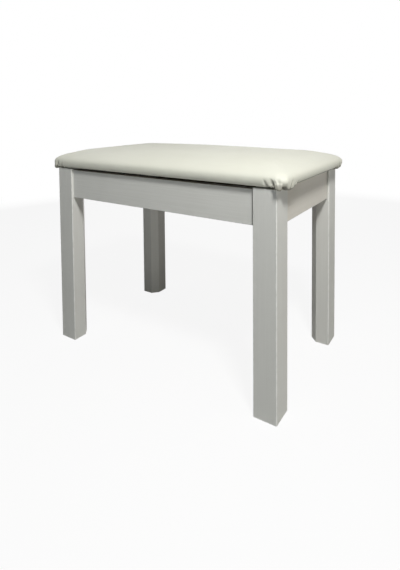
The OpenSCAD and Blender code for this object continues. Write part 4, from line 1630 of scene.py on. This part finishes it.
@dataclass
class DustCloth:
    """The thin black cloth stapled under the board, with a turned hem and puckers at the staples."""

    pitch: float = 0.004
    thickness: float = 0.0003
    hem: float = 0.012
    sag: float = 0.0012
    sag_range: Range = (0.030, 0.110)
    pucker: float = 0.00016
    pucker_range: Range = (0.002, 0.012)
    pucker_waves: float = 7.0
    pucker_ring: float = 0.014
    pucker_width: float = 0.010
    hem_share: float = 1.4
    play: float = 0.00002
    sharp_angle: float = 50.0

    def build(self, staples: Array) -> bpy.types.Object:
        """Builds the cloth.

        Args:
            staples: Middles of the staples, one row for each.

        Returns:
            The cloth as a closed thin sheet.
        """
        low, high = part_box("dust_cloth")
        across, along = (
            np.linspace(start, stop, int(round((stop - start) / self.pitch)) + 1)
            for start, stop in ((low.x, high.x), (low.y, high.y))
        )
        x, y = np.meshgrid(across, along, indexing="ij")
        edge = np.minimum(np.minimum(x - low.x, high.x - x), np.minimum(y - low.y, high.y - y))
        top = high.z - self.play - self.sag * smoothstep(*self.sag_range, edge)
        ripple = np.zeros_like(x)
        for staple in staples:
            distance = np.hypot(x - staple[0], y - staple[1])
            angle = np.arctan2(y - staple[1], x - staple[0])
            ring = np.exp(-(((distance - self.pucker_ring) / self.pucker_width) ** 2))
            ripple += np.cos(self.pucker_waves * angle) * ring
        top = top - self.pucker * (1.0 + ripple) * smoothstep(*self.pucker_range, edge)
        thick = np.where(edge < self.hem, self.thickness * self.hem_share, self.thickness)
        grids = [top, top - thick]
        points = np.vstack([np.column_stack([x.ravel(), y.ravel(), z.ravel()]) for z in grids])
        wide, deep = len(across), len(along)
        number = np.arange(wide * deep).reshape(wide, deep)
        a, b, c, d = number[:-1, :-1], number[1:, :-1], number[1:, 1:], number[:-1, 1:]
        upper = np.stack([a, b, c, d], -1).reshape(-1, 4)
        lower = upper[:, ::-1] + wide * deep
        rim = np.concatenate([number[:, 0], number[-1, 1:], number[-2::-1, -1], number[0, -2:0:-1]])
        after = np.roll(rim, -1)
        wall = np.stack([rim + wide * deep, after + wide * deep, after, rim], -1)
        faces = [tuple(int(n) for n in face) for face in np.vstack([upper, lower, wall])]
        return link_mesh("dust_cloth_sheet", points, faces)

    def dress(self, finishes: Finishes, staples: Array) -> None:
        """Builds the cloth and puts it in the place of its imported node.

        Args:
            finishes: The stool's materials.
            staples: Middles of the staples, one row for each.
        """
        cloth = self.build(staples)
        cloth.data.materials.append(finishes.by_slot["dust_cloth"])
        cloth.data.set_sharp_from_angle(angle=math.radians(self.sharp_angle))
        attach(cloth, Body.LID.value)
        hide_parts("dust_cloth")
        report(cloth)


@dataclass
class StapleRows:
    """The staples under the board, each a bent flat wire, set out by geometry nodes."""

    crown: float = 0.0100
    wire_wide: float = 0.0012
    wire_thick: float = 0.0006
    bend: float = 0.0009
    tilt: float = 0.05
    seed: int = 7

    def read_places(self) -> tuple[Array, Array, float]:
        """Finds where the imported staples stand.

        Returns:
            The middle of each crown, its turn about Z and the height of a staple.
        """
        body = bmesh.new()
        body.from_mesh(frame["nodes"]["underside_staples"].data)
        bmesh.ops.remove_doubles(body, verts=body.verts, dist=SAME_PLACE)
        body.verts.ensure_lookup_table()
        seen: set[int] = set()
        middles, turns, tall = [], [], 0.0
        for start in body.verts:
            if start.index in seen:
                continue
            stack, island = [start], []
            seen.add(start.index)
            while stack:
                here = stack.pop()
                island.append(here.co.copy())
                for joint in here.link_edges:
                    other = joint.other_vert(here)
                    if other.index not in seen:
                        seen.add(other.index)
                        stack.append(other)
            spot = np.array(island)
            low, high = spot.min(0), spot.max(0)
            middles.append([*(low + high)[:2] / 2, low[2]])
            turns.append(0.0 if high[0] - low[0] > high[1] - low[1] else math.pi / 2)
            tall = max(tall, float(high[2] - low[2]))
        body.free()
        return np.array(middles), np.array(turns), tall

    def tree(self, tall: float, metal: bpy.types.Material) -> tuple[bpy.types.NodeTree, dict[str, object]]:
        """Builds the geometry node tree that stands one bent staple on each point.

        Args:
            tall: Height of a staple.
            metal: Material of the wire.

        Returns:
            The tree, and the value of each named input.
        """
        tree = bpy.data.node_groups.new("staple_rows", "GeometryNodeTree")
        values = {
            "Crown": self.crown - self.wire_thick,
            "Leg": tall - self.wire_thick / 2,
            "Wire Width": self.wire_wide,
            "Wire Thickness": self.wire_thick,
            "Bend": self.bend,
            "Tilt": self.tilt,
        }
        kinds = {"Points": "Geometry", **dict.fromkeys(values, "Float"), "Metal": "Material"}
        for name, kind in kinds.items():
            tree.interface.new_socket(name=name, in_out="INPUT", socket_type=f"NodeSocket{kind}")
        tree.interface.new_socket(name="Staples", in_out="OUTPUT", socket_type="NodeSocketGeometry")
        board = NodeBoard(tree)
        given = board.add("NodeGroupInput").outputs
        end = board.add("NodeGroupOutput")
        index = board.add("GeometryNodeInputIndex").outputs[0]
        # Of a staple's four corners, 0 and 3 are the tips, and 1 and 2 the ends of the crown
        middle = 1.5
        right = board.math("GREATER_THAN", index, middle)
        sign = board.math("MULTIPLY_ADD", right, 2.0, -1.0)
        from_middle = board.math("ABSOLUTE", board.math("SUBTRACT", index, middle))
        tip = board.math("GREATER_THAN", from_middle, 1.0)
        side = board.math("MULTIPLY", board.math("MULTIPLY", sign, given["Crown"]), 0.5)
        spot = board.join(x=side, z=board.math("MULTIPLY", tip, given["Leg"]))
        line = board.add("GeometryNodeMeshLine", {"Count": 4})
        wire = board.add("GeometryNodeSetPosition", {"Geometry": line.outputs[0], "Position": spot})
        path = board.add("GeometryNodeMeshToCurve", {"Mesh": wire.outputs[0]})
        corners = {"Curve": path.outputs[0], "Radius": given["Bend"], "Count": 3}
        bent = board.add("GeometryNodeFilletCurve", corners, mode="POLY")
        flat = board.add(
            "GeometryNodeCurvePrimitiveQuadrilateral",
            {"Width": given["Wire Width"], "Height": given["Wire Thickness"]},
        )
        solid = board.add(
            "GeometryNodeCurveToMesh",
            {"Curve": bent.outputs[0], "Profile Curve": flat.outputs[0], "Fill Caps": True},
        )
        lean = board.add(
            "FunctionNodeRandomValue",
            {"Min": board.math("MULTIPLY", given["Tilt"], -1.0), "Max": given["Tilt"], "Seed": self.seed},
            data_type="FLOAT",
        )
        turn = board.add("GeometryNodeInputNamedAttribute", {"Name": "turn"}, data_type="FLOAT")
        value = next(s for s in lean.outputs if s.enabled and s.type == "VALUE")
        about = board.join(z=board.math("ADD", turn.outputs[0], value))
        placed = board.add(
            "GeometryNodeInstanceOnPoints",
            {"Points": given["Points"], "Instance": solid.outputs[0], "Rotation": about},
        )
        real = board.add("GeometryNodeRealizeInstances", {"Geometry": placed.outputs[0]})
        done = board.add("GeometryNodeSetMaterial", {"Geometry": real.outputs[0], "Material": given["Metal"]})
        board.feed(end.inputs[0], done.outputs[0])
        return tree, {**values, "Metal": metal}

    def dress(self, finishes: Finishes) -> Array:
        """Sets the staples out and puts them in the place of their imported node.

        Args:
            finishes: The stool's materials.

        Returns:
            The middles of the crowns.
        """
        middles, turns, tall = self.read_places()
        points = middles + np.array([0.0, 0.0, self.wire_thick / 2])
        rows = link_mesh("staple_places", points, [])
        turn = rows.data.attributes.new("turn", "FLOAT", "POINT")
        turn.data.foreach_set("value", turns)
        tree, values = self.tree(tall, finishes.by_slot["zinc_steel"])
        modifier = rows.modifiers.new("rows", "NODES")
        modifier.node_group = tree
        for item in tree.interface.items_tree:
            if item.in_out == "INPUT" and item.name in values:
                modifier[item.identifier] = values[item.name]
        graph = bpy.context.evaluated_depsgraph_get()
        mesh = bpy.data.meshes.new_from_object(rows.evaluated_get(graph))
        rows.modifiers.clear()
        bpy.data.objects.remove(rows)
        staples = link_object("staples_bent_wire", mesh)
        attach(staples, Body.LID.value)
        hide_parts("underside_staples")
        report(staples)
        return middles


# Camera, floor and light


@dataclass(frozen=True)
class PhotoCamera:
    """The camera, at the place and angle that the edges of the photographed stool give."""

    place: Place = (0.6189, -0.8394, 0.5853)
    azimuth: float = 30.690
    elevation: float = 2.516
    roll: float = -0.268
    focal_pixels: float = 404.83
    middle: tuple[float, float] = (236.38, 129.67)

    def build(self) -> None:
        """Makes the camera and sets it as the scene's."""
        data = bpy.data.cameras.new("photo_camera")
        data.sensor_width = SENSOR
        data.lens = self.focal_pixels * SENSOR / PHOTO_HEIGHT
        data.shift_x = (PHOTO_WIDTH / 2 - self.middle[0]) / PHOTO_HEIGHT
        data.shift_y = (self.middle[1] - PHOTO_HEIGHT / 2) / PHOTO_HEIGHT
        camera = link_object("photo_camera", data)
        turn, tip, roll = (math.radians(angle) for angle in (self.azimuth, self.elevation, self.roll))
        ahead = Vector((-math.sin(turn) * math.cos(tip), math.cos(turn) * math.cos(tip), -math.sin(tip)))
        level = ahead.cross(Vector((0.0, 0.0, 1.0))).normalized()
        upright = level.cross(ahead)
        right = level * math.cos(roll) + upright * math.sin(roll)
        up = upright * math.cos(roll) - level * math.sin(roll)
        axes = Matrix((right, up, -ahead)).transposed().to_4x4()
        camera.matrix_world = Matrix.Translation(self.place) @ axes
        bpy.context.scene.camera = camera
        log.info("camera: lens %.2f mm", data.lens)


@dataclass(frozen=True)
class SoftBox:
    """One soft square lamp."""

    name: str
    place: Place
    side: float
    power: float
    aim: Place = (0.0, 0.0, 0.30)
    colour: Place = (1.0, 1.0, 1.0)

    def build(self) -> None:
        """Makes the lamp."""
        data = bpy.data.lights.new(self.name, "AREA")
        data.shape = "SQUARE"
        data.size = self.side
        data.energy = self.power
        data.color = self.colour
        lamp = link_object(self.name, data)
        lamp.location = self.place
        lamp.visible_camera = False
        lamp.rotation_euler = (Vector(self.aim) - Vector(self.place)).to_track_quat("-Z", "Y").to_euler()


def direct_rays(board: NodeBoard) -> tuple[Socket, Socket]:
    """Finds the rays that show a surface straight.

    Args:
        board: Board of the tree.

    Returns:
        1 for rays from the camera, and 1 for those and for the rays that mirrors and glass show.
    """
    path = board.add("ShaderNodeLightPath").outputs
    seen = board.math("MAXIMUM", path["Is Camera Ray"], path["Is Glossy Ray"])
    return path["Is Camera Ray"], board.math("MAXIMUM", seen, path["Is Transmission Ray"])


@dataclass
class Studio:
    """A pale floor, a white surround and soft lamps."""

    floor_half: float = 12.0
    fade_from: float = 0.55
    fade_to: float = 2.20
    veil: float = 0.90
    floor_colour: Colour = (0.58, 0.58, 0.575, 1.0)
    floor_seen: Colour = (0.97, 0.97, 0.965, 1.0)
    lamps: tuple[SoftBox, ...] = (
        SoftBox("key_lamp", (0.84, -0.71, 1.57), 0.24, 20.6),
        SoftBox("front_fill", (0.30, -2.20, 0.75), 0.90, 3.9, colour=(0.88, 0.96, 1.0)),
        SoftBox("low_right_fill", (1.80, -0.30, 0.50), 1.00, 1.0, colour=(1.0, 0.97, 0.88)),
        SoftBox("foot_right_fill", (1.40, -0.10, 0.14), 0.40, 1.5, (0.0, 0.0, 0.10), (1.0, 0.98, 0.92)),
        SoftBox("left_fill", (-1.20, 0.20, 1.90), 1.20, 3.1),
        SoftBox("back_fill", (-1.10, 2.20, 0.28), 0.50, 15.0),
    )

    def build_floor(self) -> None:
        """Makes the floor, which keeps the stool's shadow and fades to plain white further out."""
        half = self.floor_half
        points = np.array([(-half, -half, 0.0), (half, -half, 0.0), (half, half, 0.0), (-half, half, 0.0)])
        floor = link_mesh("studio_floor", points, [(0, 1, 2, 3)])
        coat = Coat("studio_floor_white")
        distance = coat.add("ShaderNodeVectorMath", {0: coat.place}, operation="LENGTH").outputs["Value"]
        inputs = {"Value": distance, "From Min": self.fade_from, "From Max": self.fade_to}
        fade = coat.add("ShaderNodeMapRange", inputs, interpolation_type="SMOOTHSTEP").outputs["Result"]
        camera, seen = direct_rays(coat)
        tone = coat.blend(camera, self.floor_colour, self.floor_seen)
        coat.give(Base_Color=tone, Roughness=0.9, Specular_IOR_Level=0.1)
        white = coat.add("ShaderNodeEmission", {"Color": WHITE, "Strength": 1.0})
        veil = coat.math("MULTIPLY", camera, self.veil)
        share = coat.math("MAXIMUM", coat.math("MULTIPLY", fade, seen), veil)
        mixed = coat.add("ShaderNodeMixShader", {0: share, 1: coat.shader.outputs[0], 2: white.outputs[0]})
        coat.feed(coat.tree.nodes["Material Output"].inputs["Surface"], mixed.outputs[0])
        floor.data.materials.append(coat.material)

    def build_surround(self) -> None:
        """Makes the surround, white where it is seen or mirrored, which lights nothing else."""
        world = bpy.data.worlds.new("studio_surround")
        world.use_nodes = True
        bpy.context.scene.world = world
        board = NodeBoard(world.node_tree)
        _, seen = direct_rays(board)
        back = world.node_tree.nodes["Background"]
        back.inputs["Color"].default_value = WHITE
        board.feed(back.inputs["Strength"], seen)

    def build(self) -> None:
        """Builds the floor, the surround and the lamps, and sets the plain view transform."""
        self.build_floor()
        self.build_surround()
        for lamp in self.lamps:
            lamp.build()
        bpy.context.scene.view_settings.view_transform = "Standard"
        log.info("studio: %d lamps", len(self.lamps))


def main() -> None:
    """Builds the camera, the finishes, the upholstery and the studio in order."""
    logging.basicConfig(level=logging.INFO, format="%(name)s: %(message)s")
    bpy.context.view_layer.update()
    PhotoCamera().build()
    finishes = Finishes(Effects())
    finishes.lay_on(frame["nodes"])
    PaddedSeat().dress(finishes)
    staples = StapleRows().dress(finishes)
    DustCloth().dress(finishes, staples)
    Studio().build()


if __name__ == "__main__":
    main()
